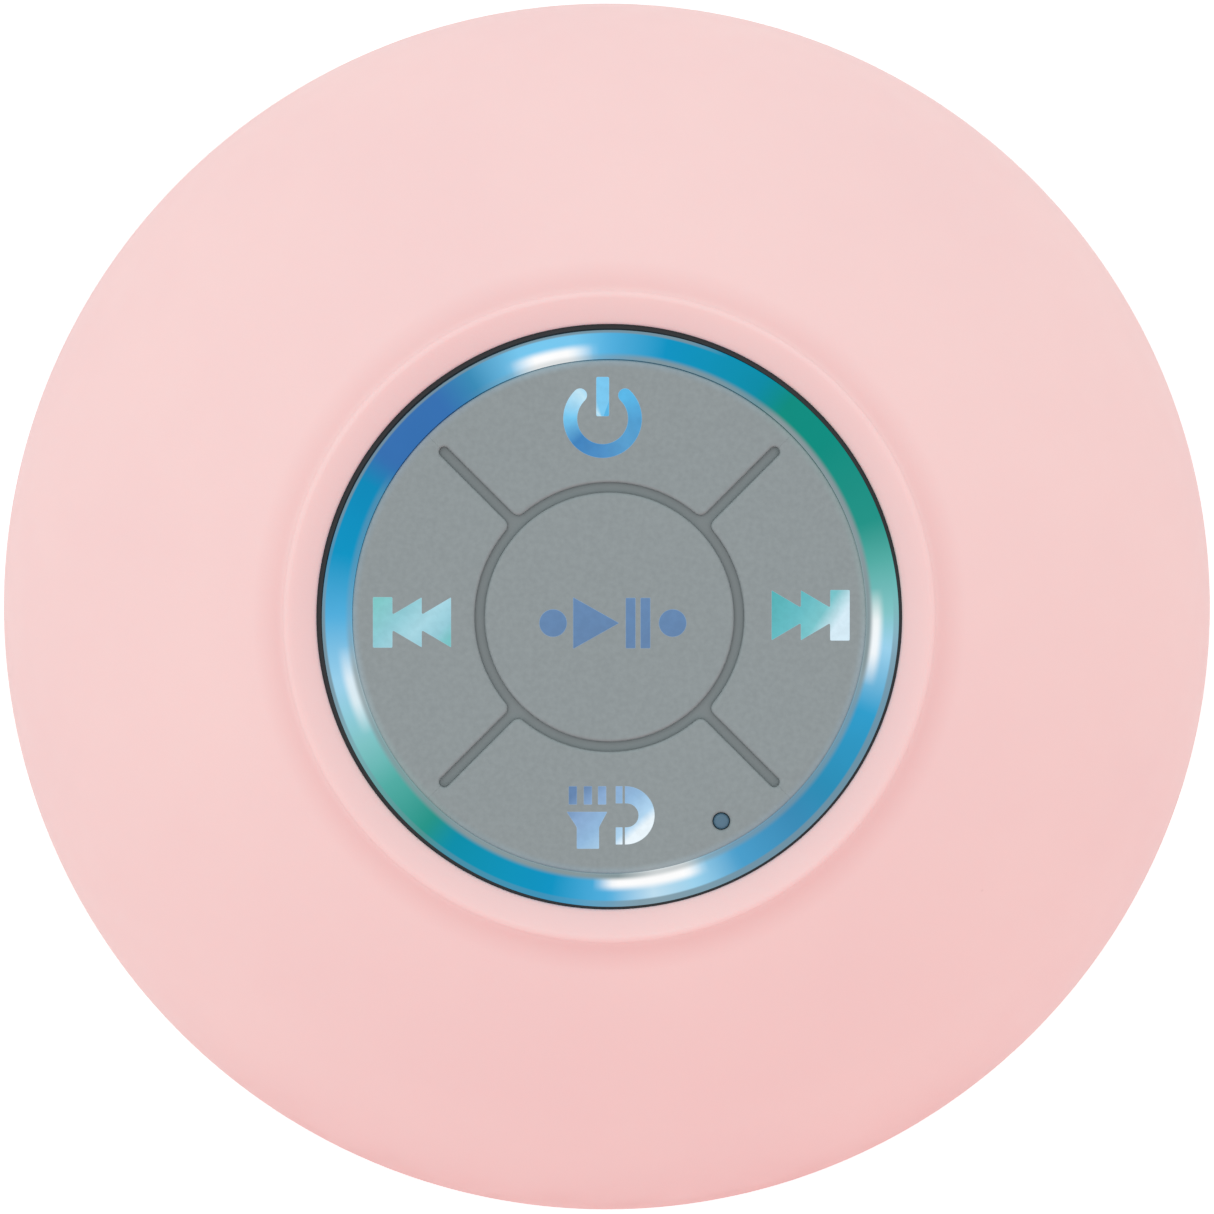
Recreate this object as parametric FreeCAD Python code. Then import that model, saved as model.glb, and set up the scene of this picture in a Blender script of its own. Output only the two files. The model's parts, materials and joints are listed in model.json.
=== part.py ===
"""Round wireless shower speaker on a suction cup, as separate parts, in millimetres.

The speaker lies face up. The origin is the centre of the circle where the suction cup's lip meets
the wall, +Z runs along the axis from the wall to the control panel, and +Y is the power key's side.
Every function returns the solid or solids of one part, and PARTS names them all.
"""
import FreeCAD, Part
import math
import os

Vec = FreeCAD.Vector
AXIS_X = Vec(1, 0, 0)
AXIS_Y = Vec(0, 1, 0)
AXIS_Z = Vec(0, 0, 1)
ORIGIN = Vec(0, 0, 0)

# ---- driving dimensions -------------------------------------------------------------------------
body_radius = 43.0          # widest radius of the dome
girth_z = 27.0              # height of that widest circle above the wall
crest_z = 54.0              # top of the collar round the panel, the speaker's full height
dome_rise = 30.7            # half height of the ellipse that the dome follows, above girth_z
rim_radius = 6.0            # round of the dome's lower rim
skin_wall = 1.8             # silicone skin thickness
skin_gap = 0.05             # skin to housing
shell_wall = 2.0            # housing wall thickness

bezel_inner = 19.6          # black well wall round the light ring
bezel_outer = 20.15
bezel_top_z = 52.95
lip_inner = 19.9            # opening of the silicone skin, whose lip laps over the bezel
crest_radius = 22.25        # outer side of the collar's crest
collar_foot = 23.6          # where the collar meets the dome
ledge_inner = 18.6          # ledge that carries the keypad
ledge_z = 50.2

key_top_z = 53.3
key_bottom_z = 51.7
key_travel = 0.5
keypad_radius = 17.55
play_radius = 8.48          # round centre key
sector_inner = 9.23         # inner radius of the four outer keys
spoke_half = 0.39           # half width of the grooves between outer keys
spoke_end = 16.28           # where those grooves stop
hairline = 0.03             # half gap between neighbouring keys past the groove ends
rib_gap = 0.05              # keys to the ribs that fill the grooves
rib_top_z = 52.75
web_wall = 0.8
key_edge_round = 0.22
icon_circle = 13.6          # where the outer keys' symbols sit
mic_x, mic_y = 7.65, -13.95
mic_hole_radius = 0.6
nub_radius = 1.5            # nub under each key
nub_bottom_z = 49.75
switch_circle = 11.8        # outer keys' switches
plunger_radius = 1.0
KEY_ANGLES = {"power": 90.0, "previous": 180.0, "light": 270.0, "next": 0.0}
RING_LED_ANGLES = (0.0, 100.0, 195.0, 278.0)

board_bottom_z = 47.0       # main board
board_wall = 1.2
board_radius = 22.4
board_screw_circle = 20.8

cell_length, cell_width, cell_wall = 35.0, 25.0, 5.5
cell_z = 39.0

cover_z = 12.0              # underside of the rear cover
cover_wall = 2.0
flange_z = 19.4             # flange under the skin's hem
hem_z = 21.0
flange_radius = 38.0
hem_radius = 35.9
spigot_outer = 35.7
spigot_inner = 33.2
spigot_top_z = 26.0
rim_bore = 36.3
hub_radius = 10.0           # boss round the stud's bore
hub_z = 9.8
socket_radius = 5.8         # chamber that the stud's head turns in
socket_top_z = 15.6

screw_circle = 28.5         # housing screws
SCREW_ANGLES = (45.0, 135.0, 225.0, 315.0)    # housing screws and board screws
boss_z = 26.4               # where the front shell's bosses meet the cover's tubes
head_seat_z = 20.0

driver_radius = 20.0
seat_z = 18.0               # driver seat on the rear cover
seat_outer = 21.8
gasket_wall = 0.8
frame_wall = 0.8
DRIVER_EAR_ANGLES = (90.0, 210.0, 330.0)
driver_ear_circle = 22.2
frame_top_z = 28.2          # back of the driver's basket, where its motor starts
washer_wall, magnet_wall, yoke_wall = 2.0, 5.0, 2.0
motor_radius = 13.5
former_outer = 6.7
neck_z = 25.6               # where the cone meets the coil former
tag_y, tag_top_z = 2.0, 29.3    # solder tags
GRILLE_ROWS = ((11.0, 12.3), (13.0, 14.3), (15.0, 16.3))

cup_radius = 30.0
cup_lip = 1.4               # width of the flat lip that touches the wall
cup_hollow = 4.2            # depth of the cup's hollow at its centre
cup_hub_radius = 9.0
neck_radius = 3.5
running_gap = 0.05

port_z = 16.75              # centre height of the charging port, on the -Y side
port_face_y = -35.6
port_pocket = 1.2
hinge_x, hinge_y = -7.6, -35.4    # the port plug's upright hinge
hinge_roll = 0.2
anchor_x = -9.0             # the plug's fixed stem
usb_width, usb_height = 8.94, 3.2
usb_mouth_y = -34.0
usb_depth = 7.3
charge_board_z = 14.1
charge_board_wall = 1.0
CHARGE_SCREWS = ((-5.6, -24.2), (5.6, -24.2))

board_top_z = board_bottom_z + board_wall
web_top_z = ledge_z + web_wall
frame_z = seat_z + gasket_wall
pocket_y = port_face_y + port_pocket
usb_back_y = usb_mouth_y + usb_depth


# ---- helpers ------------------------------------------------------------------------------------
def point(r, z):
    return Vec(r, 0, z)


def turned(start, *steps):
    """Solid of revolution about Z. A step is a point (r, z), an arc ((r, z) on it, (r, z) at its
    end), or a ready-made edge that starts where the outline has got to."""
    edges = []
    at = point(*start)
    for step in steps + (start,):
        if isinstance(step, Part.Shape):
            edges.append(step)
            ends = [v.Point for v in step.Vertexes]
            at = max(ends, key=lambda p: p.distanceToPoint(at))
        elif isinstance(step[0], tuple):
            end = point(*step[1])
            edges.append(Part.Arc(at, point(*step[0]), end).toShape())
            at = end
        elif point(*step).distanceToPoint(at) > 1e-7:
            end = point(*step)
            edges.append(Part.LineSegment(at, end).toShape())
            at = end
    face = Part.Face(Part.Wire(edges))
    solid = face.revolve(ORIGIN, AXIS_Z, 360)
    return solid if solid.Volume > 0 else solid.reversed()


def dome_height(r, inset):
    """Height of the dome's ellipse at radius r, with both half axes shortened by inset."""
    wide, high = body_radius - inset, dome_rise - inset
    return girth_z + high * math.sqrt(1 - (r / wide) ** 2)


def dome_reach(z, inset):
    """Radius of that ellipse at height z."""
    wide, high = body_radius - inset, dome_rise - inset
    return wide * math.sqrt(1 - ((z - girth_z) / high) ** 2)


def dome_edge(r_from, r_to, inset):
    wide, high = body_radius - inset, dome_rise - inset
    centre = point(0, girth_z)
    curve = Part.Ellipse(point(wide, girth_z), point(0, girth_z + high), centre)
    a = math.acos(r_from / wide)
    b = math.acos(r_to / wide)
    return Part.ArcOfEllipse(curve, min(a, b), max(a, b)).toShape()


def rim_arc(inset):
    """Middle and end of the quarter round under the dome, from its widest point inwards."""
    r = rim_radius - inset
    centre_r = body_radius - rim_radius
    middle = (centre_r + r * math.cos(math.pi / 4), girth_z - r * math.sin(math.pi / 4))
    return middle, (centre_r, girth_z - r)


def crown(edge_r, edge_z, apex_z):
    """Step from the rim of a spherical cap to its apex on the axis."""
    rise = apex_z - edge_z
    sphere = (edge_r ** 2 + rise ** 2) / (2 * rise)
    half = math.asin(edge_r / sphere) / 2
    return (sphere * math.sin(half), apex_z - sphere * (1 - math.cos(half))), (0, apex_z)


def on_round(centre, radius, angle):
    """Point of a profile's round, as (r, z)."""
    a = math.radians(angle)
    return centre[0] + radius * math.cos(a), centre[1] + radius * math.sin(a)


def disc(radius, z0, z1, x=0.0, y=0.0):
    return Part.makeCylinder(radius, z1 - z0, Vec(x, y, z0))


def ring(inner, outer, z0, z1, x=0.0, y=0.0):
    return disc(outer, z0, z1, x, y).cut(disc(inner, z0 - 1, z1 + 1, x, y))


def block(x0, x1, y0, y1, z0, z1):
    return Part.makeBox(x1 - x0, y1 - y0, z1 - z0, Vec(x0, y0, z0))


def on_circle(radius, angle):
    return radius * math.cos(math.radians(angle)), radius * math.sin(math.radians(angle))


def spun(shape, angle):
    copy = shape.copy()
    copy.rotate(ORIGIN, AXIS_Z, angle)
    return copy


def fused(shapes):
    shapes = list(shapes)
    return shapes[0].multiFuse(shapes[1:]).removeSplitter() if len(shapes) > 1 else shapes[0]


def group(shapes):
    return Part.makeCompound(list(shapes))


def edges_at(shape, z):
    """Edges that lie flat at height z."""
    return [e for e in shape.Edges if all(abs(v.Point.z - z) < 1e-6 for v in e.Vertexes)]


def edges_along(shape, axis):
    """Straight edges that run along the axis."""
    return [e for e in shape.Edges if abs(e.tangentAt(e.FirstParameter).dot(axis)) > 0.99]


def stadium(width, height, y0, y1, z):
    """Bar along Y with a stadium outline, width along X and height along Z."""
    r = height / 2
    reach = width / 2 - r
    ends = [Part.makeCylinder(r, y1 - y0, Vec(s * reach, y0, z), AXIS_Y) for s in (-1, 1)]
    middle = block(-reach, reach, y0, y1, z - r, z + r)
    return fused(ends + [middle])


def rounded_plate(x0, x1, y0, y1, z0, z1, corner):
    """Plate lying in the X-Z plane, thin along Y, with its four corners rounded."""
    plate = block(x0, x1, y0, y1, z0, z1)
    return plate.makeFillet(corner, edges_along(plate, AXIS_Y))


def lead(start, middle, end, radius):
    """Round wire bowed through three points, trimmed flat at the heights of its ends."""
    bow = Part.Arc(Vec(*start), Vec(*middle), Vec(*end)).toShape().Curve
    hoop = Part.makeTorus(bow.Radius, radius, bow.Center, bow.Axis)
    xs, ys, zs = zip(start, middle, end)
    margin = 2 * radius
    return hoop.common(block(min(xs) - margin, max(xs) + margin, min(ys) - margin, max(ys) + margin,
                             min(zs), max(zs)))


# ---- casing -------------------------------------------------------------------------------------
def dome_skin():
    """Silicone skin: a collar round the panel, the dome, and a hem tucked under the rim."""
    inset = skin_wall
    wall_inner = bezel_outer + skin_gap
    lip_z = bezel_top_z + skin_gap
    lip = (lip_inner + 0.3, lip_z + 0.2)
    crest = (crest_radius - 0.35, crest_z - 0.35)
    return turned(
        (wall_inner, dome_height(wall_inner, inset)),
        (wall_inner, lip_z),
        (lip_inner, lip_z),
        on_round(lip, 0.3, 180),
        (on_round(lip, 0.3, 145), on_round(lip, 0.3, 110)),
        on_round(crest, 0.35, 110),
        (on_round(crest, 0.35, 60), on_round(crest, 0.35, 5)),
        ((crest_radius + 0.35, crest_z - 0.95), (collar_foot, dome_height(collar_foot, 0))),
        dome_edge(collar_foot, body_radius, 0),
        rim_arc(0),
        (hem_radius, hem_z),
        (hem_radius, hem_z + skin_wall),
        (body_radius - rim_radius, hem_z + skin_wall),
        (rim_arc(inset)[0], (body_radius - inset, girth_z)),
        dome_edge(body_radius - inset, wall_inner, inset),
    )


def shell_fill():
    """The front shell's outer shape, filled in."""
    inset = skin_wall + skin_gap
    return turned(
        (0, girth_z - rim_radius + inset),
        (0, dome_height(0, inset)),
        dome_edge(0, body_radius - inset, inset),
        rim_arc(inset),
    )


def front_shell():
    """Housing under the skin: dome wall, well for the panel, ledge, bezel, bosses and board posts."""
    inset = skin_wall + skin_gap
    inside = inset + shell_wall
    rim_top_z = 28.0
    ledge_bottom_z = ledge_z - 0.8
    wall = turned(
        (ledge_inner, ledge_bottom_z),
        (ledge_inner, ledge_z),
        (bezel_inner, ledge_z),
        (bezel_inner, bezel_top_z - 0.1),
        (bezel_inner + 0.1, bezel_top_z),
        (bezel_outer - 0.1, bezel_top_z),
        (bezel_outer, bezel_top_z - 0.1),
        (bezel_outer, dome_height(bezel_outer, inset)),
        dome_edge(bezel_outer, body_radius - inset, inset),
        rim_arc(inset),
        (rim_bore, girth_z - rim_radius + inset),
        (rim_bore, rim_top_z),
        (dome_reach(rim_top_z, inside), rim_top_z),
        dome_edge(dome_reach(rim_top_z, inside), dome_reach(ledge_bottom_z, inside), inside),
    )
    bosses = [disc(3.0, boss_z, crest_z, *on_circle(screw_circle, a)) for a in SCREW_ANGLES]
    bosses = [b.common(shell_fill()) for b in bosses]
    posts = [disc(1.9, board_top_z, ledge_z + 0.5, *on_circle(board_screw_circle, a))
             for a in SCREW_ANGLES]
    posts = [p.cut(disc(bezel_inner, ledge_bottom_z, crest_z)) for p in posts]
    shell = fused([wall] + bosses + posts)
    for a in SCREW_ANGLES:
        shell = shell.cut(disc(1.25, boss_z - 1, boss_z + 9.6, *on_circle(screw_circle, a)))
        shell = shell.cut(disc(1.0, board_top_z - 1, ledge_z + 0.9,
                               *on_circle(board_screw_circle, a)))
    return shell


def grille_slots():
    """Arc slots in three rows under the driver, as cutting solids."""
    count = 8
    bridge = 1.5
    slots = []
    for inner, outer in GRILLE_ROWS:
        middle = (inner + outer) / 2
        end_r = (outer - inner) / 2
        span = 360.0 / count - math.degrees((bridge + 2 * end_r) / middle)
        body = Part.makeCylinder(outer, cover_wall + 2, Vec(0, 0, cover_z - 1), AXIS_Z, span)
        body = body.cut(disc(inner, cover_z - 2, cover_z + cover_wall + 2))
        caps = [disc(end_r, cover_z - 1, cover_z + cover_wall + 1, *on_circle(middle, a))
                for a in (0.0, span)]
        slot = fused([body] + caps)
        slots += [spun(slot, 360.0 * k / count - span / 2) for k in range(count)]
    return slots


def port_openings():
    """Pocket for the port plug, opening for the socket, and the plug anchor's recess and hole."""
    pocket = rounded_plate(-7.4, 9.0, port_face_y - 1, pocket_y, 14.1, flange_z, 1.0)
    opening = stadium(usb_width + 0.5, usb_height + 0.5, pocket_y - 1, -30.0, port_z)
    recess = block(-10.35, -7.3, port_face_y - 1, pocket_y, port_z - 2.05, port_z + 2.05)
    stem_hole = Part.makeCylinder(0.85, 6, Vec(anchor_x, pocket_y - 0.5, port_z), AXIS_Y)
    return [pocket, opening, recess, stem_hole]


def rear_cover():
    """Rear housing: grille plate, stud socket, driver seat, screw tubes, flange and port pad."""
    plate_top_z = cover_z + cover_wall
    seal_floor = spigot_outer - 1.15
    shell = turned(
        (0, cover_z),
        (31.4, cover_z),
        ((32.85, cover_z + 0.55), (33.5, cover_z + 1.95)),
        (34.9, flange_z),
        (flange_radius - 0.7, flange_z),
        ((flange_radius - 0.2, flange_z + 0.2), (flange_radius, flange_z + 0.7)),
        (flange_radius, hem_z),
        (spigot_outer, hem_z),
        (spigot_outer, 23.8),
        (seal_floor, 23.8),
        (seal_floor, 25.2),
        (spigot_outer, 25.2),
        (spigot_outer, spigot_top_z),
        (spigot_inner, spigot_top_z),
        (spigot_inner, flange_z),
        (31.9, plate_top_z + 0.6),
        (31.3, plate_top_z),
        (0, plate_top_z),
    )
    hub = disc(hub_radius, hub_z, cover_z + 0.5)
    socket_tube = disc(socket_radius + 1.6, cover_z, socket_top_z + 1.6)
    seat = ring(17.2, seat_outer, cover_z + 0.5, seat_z)
    rim = ring(driver_radius + 0.15, seat_outer, seat_z - 0.5, 20.2)
    ears = [disc(2.6, cover_z + 0.5, frame_z, *on_circle(driver_ear_circle, a))
            for a in DRIVER_EAR_ANGLES]
    ear_room = [disc(2.7, frame_z, 22, *on_circle(driver_ear_circle, a))
                for a in DRIVER_EAR_ANGLES]
    gasket_room = ring(17.3, driver_radius + 0.15, seat_z, 22)
    tubes = [disc(3.9, cover_z + 0.5, 23.0, *on_circle(screw_circle, a)) for a in SCREW_ANGLES]
    necks = [disc(3.0, 22.5, boss_z - 0.1, *on_circle(screw_circle, a)) for a in SCREW_ANGLES]
    pad = block(-10.9, 10.4, port_face_y, -31.0, 12.9, flange_z + 0.2)
    face_edges = [e for e in pad.Edges
                  if abs(e.CenterOfMass.y - port_face_y) < 1e-6 and e.CenterOfMass.z < flange_z]
    pad = pad.makeFillet(0.8, face_edges)
    pad = pad.cut(disc(32.0, cover_z - 1, hem_z))
    posts = [disc(1.7, cover_z + 0.5, charge_board_z, x, y) for x, y in CHARGE_SCREWS]
    cover = fused([shell, hub, socket_tube, seat, rim] + ears + tubes + necks + [pad] + posts)
    for tool in ear_room + [gasket_room] + grille_slots() + port_openings():
        cover = cover.cut(tool)
    for a in SCREW_ANGLES:
        x, y = on_circle(screw_circle, a)
        cover = cover.cut(disc(2.75, cover_z - 1, head_seat_z, x, y))
        cover = cover.cut(disc(1.5, cover_z - 1, boss_z + 1, x, y))
    for a in DRIVER_EAR_ANGLES:
        cover = cover.cut(disc(0.85, plate_top_z + 1, 20, *on_circle(driver_ear_circle, a)))
    for x, y in CHARGE_SCREWS:
        cover = cover.cut(disc(0.75, cover_z + 0.8, charge_board_z + 1, x, y))
    cover = cover.cut(disc(neck_radius + running_gap, hub_z - 1, cover_z + 1))
    return cover.cut(disc(socket_radius, cover_z + 0.4, socket_top_z))


def housing_seal():
    """Rubber ring squeezed between the cover's groove and the front shell."""
    cord = 0.6
    return Part.makeTorus(rim_bore - cord - 0.075, cord, Vec(0, 0, 24.5), AXIS_Z)


def housing_screws():
    """Four cross-head screws from the cover's tubes into the shell's bosses."""
    head = disc(2.5, head_seat_z - 1.8, head_seat_z)
    head = head.makeFillet(0.5, edges_at(head, head_seat_z - 1.8))
    screw = fused([head, disc(1.2, head_seat_z - 0.5, boss_z + 8.0)])
    for wide, deep in ((2.4, 0.5), (0.5, 2.4)):
        screw = screw.cut(block(-wide / 2, wide / 2, -deep / 2, deep / 2,
                                head_seat_z - 2.5, head_seat_z - 0.9))
    screws = []
    for a in SCREW_ANGLES:
        copy = screw.copy()
        copy.translate(Vec(*on_circle(screw_circle, a), 0))
        screws.append(copy)
    return group(screws)


# ---- control panel ------------------------------------------------------------------------------
def light_ring():
    """Clear diffuser ring with a gently domed face and a thin outer chamfer."""
    return turned(
        (keypad_radius + 0.07, web_top_z),
        (keypad_radius + 0.07, key_top_z - 0.12),
        (keypad_radius + 0.2, key_top_z),
        ((18.55, key_top_z - 0.05), (19.3, key_top_z - 0.35)),
        (bezel_inner - 0.05, key_top_z - 0.6),
        (bezel_inner - 0.05, web_top_z),
    )


def spoke(half_width, start, end, z0, z1):
    """Bar along +X at 45 degrees between keys, with a round outer end."""
    bar = block(start, end - half_width, -half_width, half_width, z0, z1)
    cap = disc(half_width, z0, z1, end - half_width, 0)
    return spun(fused([bar, cap]), 45.0)


def keypad_web():
    """Fixed silicone membrane under the keys, with the ribs that form the floor of the grooves."""
    web = disc(bezel_inner - 0.05, ledge_z, web_top_z)
    low, high = web_top_z - 0.2, rib_top_z
    ribs = [ring(play_radius + rib_gap, sector_inner - rib_gap, low, high)]
    bar = spoke(spoke_half - rib_gap, sector_inner - 0.3, spoke_end - rib_gap, low, high)
    ribs += [spun(bar, 90.0 * k) for k in range(4)]
    web = fused([web] + ribs)
    holes = [disc(nub_radius + rib_gap, ledge_z - 1, web_top_z + 1)]
    holes += [disc(nub_radius + rib_gap, ledge_z - 1, web_top_z + 1, *on_circle(switch_circle, a))
              for a in KEY_ANGLES.values()]
    holes.append(disc(mic_hole_radius, ledge_z - 1, web_top_z + 1, mic_x, mic_y))
    for hole in holes:
        web = web.cut(hole)
    return web


def softened(cap):
    """Key cap with the edge of its top face rounded."""
    return cap.makeFillet(key_edge_round, edges_at(cap, key_top_z))


def key_play():
    """Round centre key with the nub that presses its switch."""
    cap = softened(disc(play_radius, key_bottom_z, key_top_z))
    return fused([cap, disc(nub_radius, nub_bottom_z, key_bottom_z + 0.3)])


def outer_key(name):
    """One of the four sector keys round the centre key."""
    low, high = key_bottom_z, key_top_z
    sector = Part.makeCylinder(keypad_radius, high - low, Vec(0, 0, low), AXIS_Z, 90.0)
    sector = sector.cut(disc(sector_inner, low - 1, high + 1))
    for x0, x1, y0, y1 in ((-1, 30, -1, hairline), (-1, hairline, -1, 30)):
        sector = sector.cut(block(x0, x1, y0, y1, low - 1, high + 1))
    bar = spun(spoke(spoke_half, sector_inner - 1, spoke_end, low - 1, high + 1), -45.0)
    sector = sector.cut(bar).cut(spun(bar, 90.0))
    cap = softened(spun(sector, KEY_ANGLES[name] - 45.0))
    nub = disc(nub_radius, nub_bottom_z, low + 0.3, *on_circle(switch_circle, KEY_ANGLES[name]))
    key = fused([cap, nub])
    if name == "light":
        key = key.cut(disc(mic_hole_radius, low - 1, high + 1, mic_x, mic_y))
    return key


def switch_places():
    places = {"play": (0.0, 0.0)}
    places.update({name: on_circle(switch_circle, a) for name, a in KEY_ANGLES.items()})
    return places


def switch_cases():
    """Five tact switch bodies on the main board, just clear of the nubs at full travel."""
    half = 2.6
    top_z = nub_bottom_z - key_travel - running_gap
    cases = []
    for x, y in switch_places().values():
        case = block(x - half, x + half, y - half, y + half, board_top_z, top_z)
        case = case.makeChamfer(0.5, edges_along(case, AXIS_Z))
        cases.append(case.cut(disc(plunger_radius + running_gap, board_top_z + 0.2, top_z + 1, x, y)))
    return group(cases)


def plunger(name):
    """Switch plunger, which goes down with its key."""
    x, y = switch_places()[name]
    return disc(plunger_radius, board_top_z + 0.85, nub_bottom_z - running_gap, x, y)


def placed_chip(x, y, length, width, height, turn=0.0, under=False):
    """Box-shaped component on the main board's top, or under it."""
    z0 = board_bottom_z - height if under else board_top_z
    chip = block(-length / 2, length / 2, -width / 2, width / 2, z0, z0 + height)
    chip.rotate(ORIGIN, AXIS_Z, turn)
    chip.translate(Vec(x, y, 0))
    return chip


def ring_leds():
    """Four colour-changing LEDs under the light ring."""
    led_circle = 17.0
    return group(placed_chip(*on_circle(led_circle, a), 2.8, 3.5, 1.4, a) for a in RING_LED_ANGLES)


def key_leds():
    """Small LEDs that shine through the key symbols, one to a key."""
    size = (0.8, 1.6, 0.7)
    leds = [placed_chip(4.6, 0, *size)]
    for angle in KEY_ANGLES.values():
        x, y = on_circle(icon_circle, angle)
        dx, dy = on_circle(4.2, angle + 90.0)
        leds.append(placed_chip(x + dx, y + dy, *size, angle))
    return group(leds)


def main_board():
    """Round circuit board behind the keypad."""
    board = disc(board_radius, board_bottom_z, board_top_z)
    for a in SCREW_ANGLES:
        board = board.cut(disc(1.1, board_bottom_z - 1, board_top_z + 1,
                               *on_circle(board_screw_circle, a)))
    return board


def pan_screw(radius, head_radius, head_height, seat, length, x, y, up=1):
    """Slotted screw with its head against height seat, and its shank up (1) or down (-1)."""
    head = disc(head_radius, 0, head_height).cut(block(-0.2, 0.2, -5, 5, -1, head_height * 0.4))
    screw = fused([head, disc(radius, head_height * 0.6, head_height + length)])
    if up < 0:
        screw.rotate(ORIGIN, AXIS_X, 180)
    screw.translate(Vec(x, y, seat - up * head_height))
    return screw


def board_screws():
    return group(pan_screw(0.95, 1.8, 1.2, board_bottom_z, 3.6, *on_circle(board_screw_circle, a))
                 for a in SCREW_ANGLES)


def microphone():
    return placed_chip(mic_x, mic_y, 3.8, 3.0, 1.1)


def mic_boot():
    """Soft tube from the microphone to its hole in the keypad."""
    return ring(mic_hole_radius, 1.4, board_top_z + 1.1, ledge_z, mic_x, mic_y)


def audio_chip():
    return placed_chip(-6.0, 11.0, 5.0, 5.0, 0.9, under=True)


def amplifier_chip():
    return placed_chip(6.5, 11.0, 3.9, 4.9, 0.9, under=True)


def board_capacitors():
    """Passive components under the board."""
    places = ((-12.0, 8.0), (-12.0, 11.0), (0.0, 10.0), (0.5, 13.5), (11.5, 9.0), (11.5, 12.0),
              (-9.0, -10.5), (-4.5, -11.0), (5.0, -10.5), (9.5, -11.0))
    return group(placed_chip(x, y, 2.0, 1.25, 0.8, under=True) for x, y in places)


def chip_antenna():
    return placed_chip(*on_circle(19.3, 20.0), 2.0, 7.0, 1.0, 20.0)


# ---- power --------------------------------------------------------------------------------------
def battery():
    """Pouch cell between the driver's magnet and the main board."""
    x, y = cell_length / 2, cell_width / 2
    cell = block(-x, x, -y, y, cell_z, cell_z + cell_wall)
    return cell.makeFillet(2.0, edges_along(cell, AXIS_X))


def battery_pad():
    """Foam pad that holds the cell down from the board."""
    return block(-10, 10, -7, 7, cell_z + cell_wall, board_bottom_z)


def battery_lead(side):
    """Quarter turn from the cell's end up to the board."""
    bend = 3.6
    end_x = -cell_length / 2
    hoop = Part.makeTorus(bend, 0.55, Vec(end_x, 1.6 * side, board_bottom_z), AXIS_Y)
    return hoop.common(block(end_x - 2 * bend, end_x, -5, 5, cell_z, board_bottom_z))


def charge_board():
    """Small board that carries the charging socket."""
    board = block(-7.5, 7.5, -30.2, -22.4, charge_board_z, charge_board_z + charge_board_wall)
    for x, y in CHARGE_SCREWS:
        board = board.cut(disc(0.95, charge_board_z - 1, charge_board_z + 2, x, y))
    return board


def charge_board_screws():
    seat = charge_board_z + charge_board_wall
    return group(pan_screw(0.7, 1.5, 0.9, seat, 2.0, x, y, up=-1) for x, y in CHARGE_SCREWS)


def usb_shell():
    """Metal shell of the charging socket."""
    wall = 0.3
    outer = stadium(usb_width, usb_height, usb_mouth_y, usb_back_y, port_z)
    inner = stadium(usb_width - 2 * wall, usb_height - 2 * wall, usb_mouth_y - 1, usb_back_y - 2 * wall,
                    port_z)
    return outer.cut(inner)


def usb_tongue():
    return block(-3.35, 3.35, usb_mouth_y + 1.2, usb_back_y - 0.6, port_z - 0.35, port_z + 0.35)


def port_plug():
    """Silicone flap over the charging port: a flush plate, a nose and a pull lip."""
    low, high = port_z - 1.5, port_z + 1.5
    plate = rounded_plate(-7.3, 7.3, port_face_y, pocket_y, 14.2, flange_z - 0.1, 0.9)
    nose = stadium(7.9, 2.15, pocket_y - 0.1, usb_mouth_y + 0.8, port_z)
    lip = rounded_plate(6.6, 8.9, port_face_y - 0.4, port_face_y + 0.8, low, high, 0.55)
    roll = disc(hinge_roll, low, high, hinge_x, hinge_y)
    strap = block(hinge_x, -7.2, hinge_y - hinge_roll, hinge_y + hinge_roll, low, high)
    return fused([plate, nose, lip, roll, strap])


def plug_anchor():
    """Fixed end of the plug, held by a barbed stem through the cover's wall."""
    head = block(-10.3, -7.75, port_face_y, pocket_y, port_z - 2.0, port_z + 2.0)
    stem = Part.makeCylinder(0.8, 4.4, Vec(anchor_x, pocket_y - 0.1, port_z), AXIS_Y)
    barb = Part.makeCone(1.3, 0.5, 1.3, Vec(anchor_x, pocket_y + 4.2, port_z), AXIS_Y)
    relief = disc(0.37, port_z - 3, port_z + 3, hinge_x, hinge_y)
    return fused([head, stem, barb]).cut(relief)


def charge_lead(side):
    x = 2.2 * side
    return lead((x, -23.4, charge_board_z + 1.0), (x, -24.6, 30.0), (x, -18.0, board_bottom_z), 0.5)


# ---- driver -------------------------------------------------------------------------------------
def speaker_gasket():
    return ring(17.6, driver_radius, seat_z, frame_z)


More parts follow.
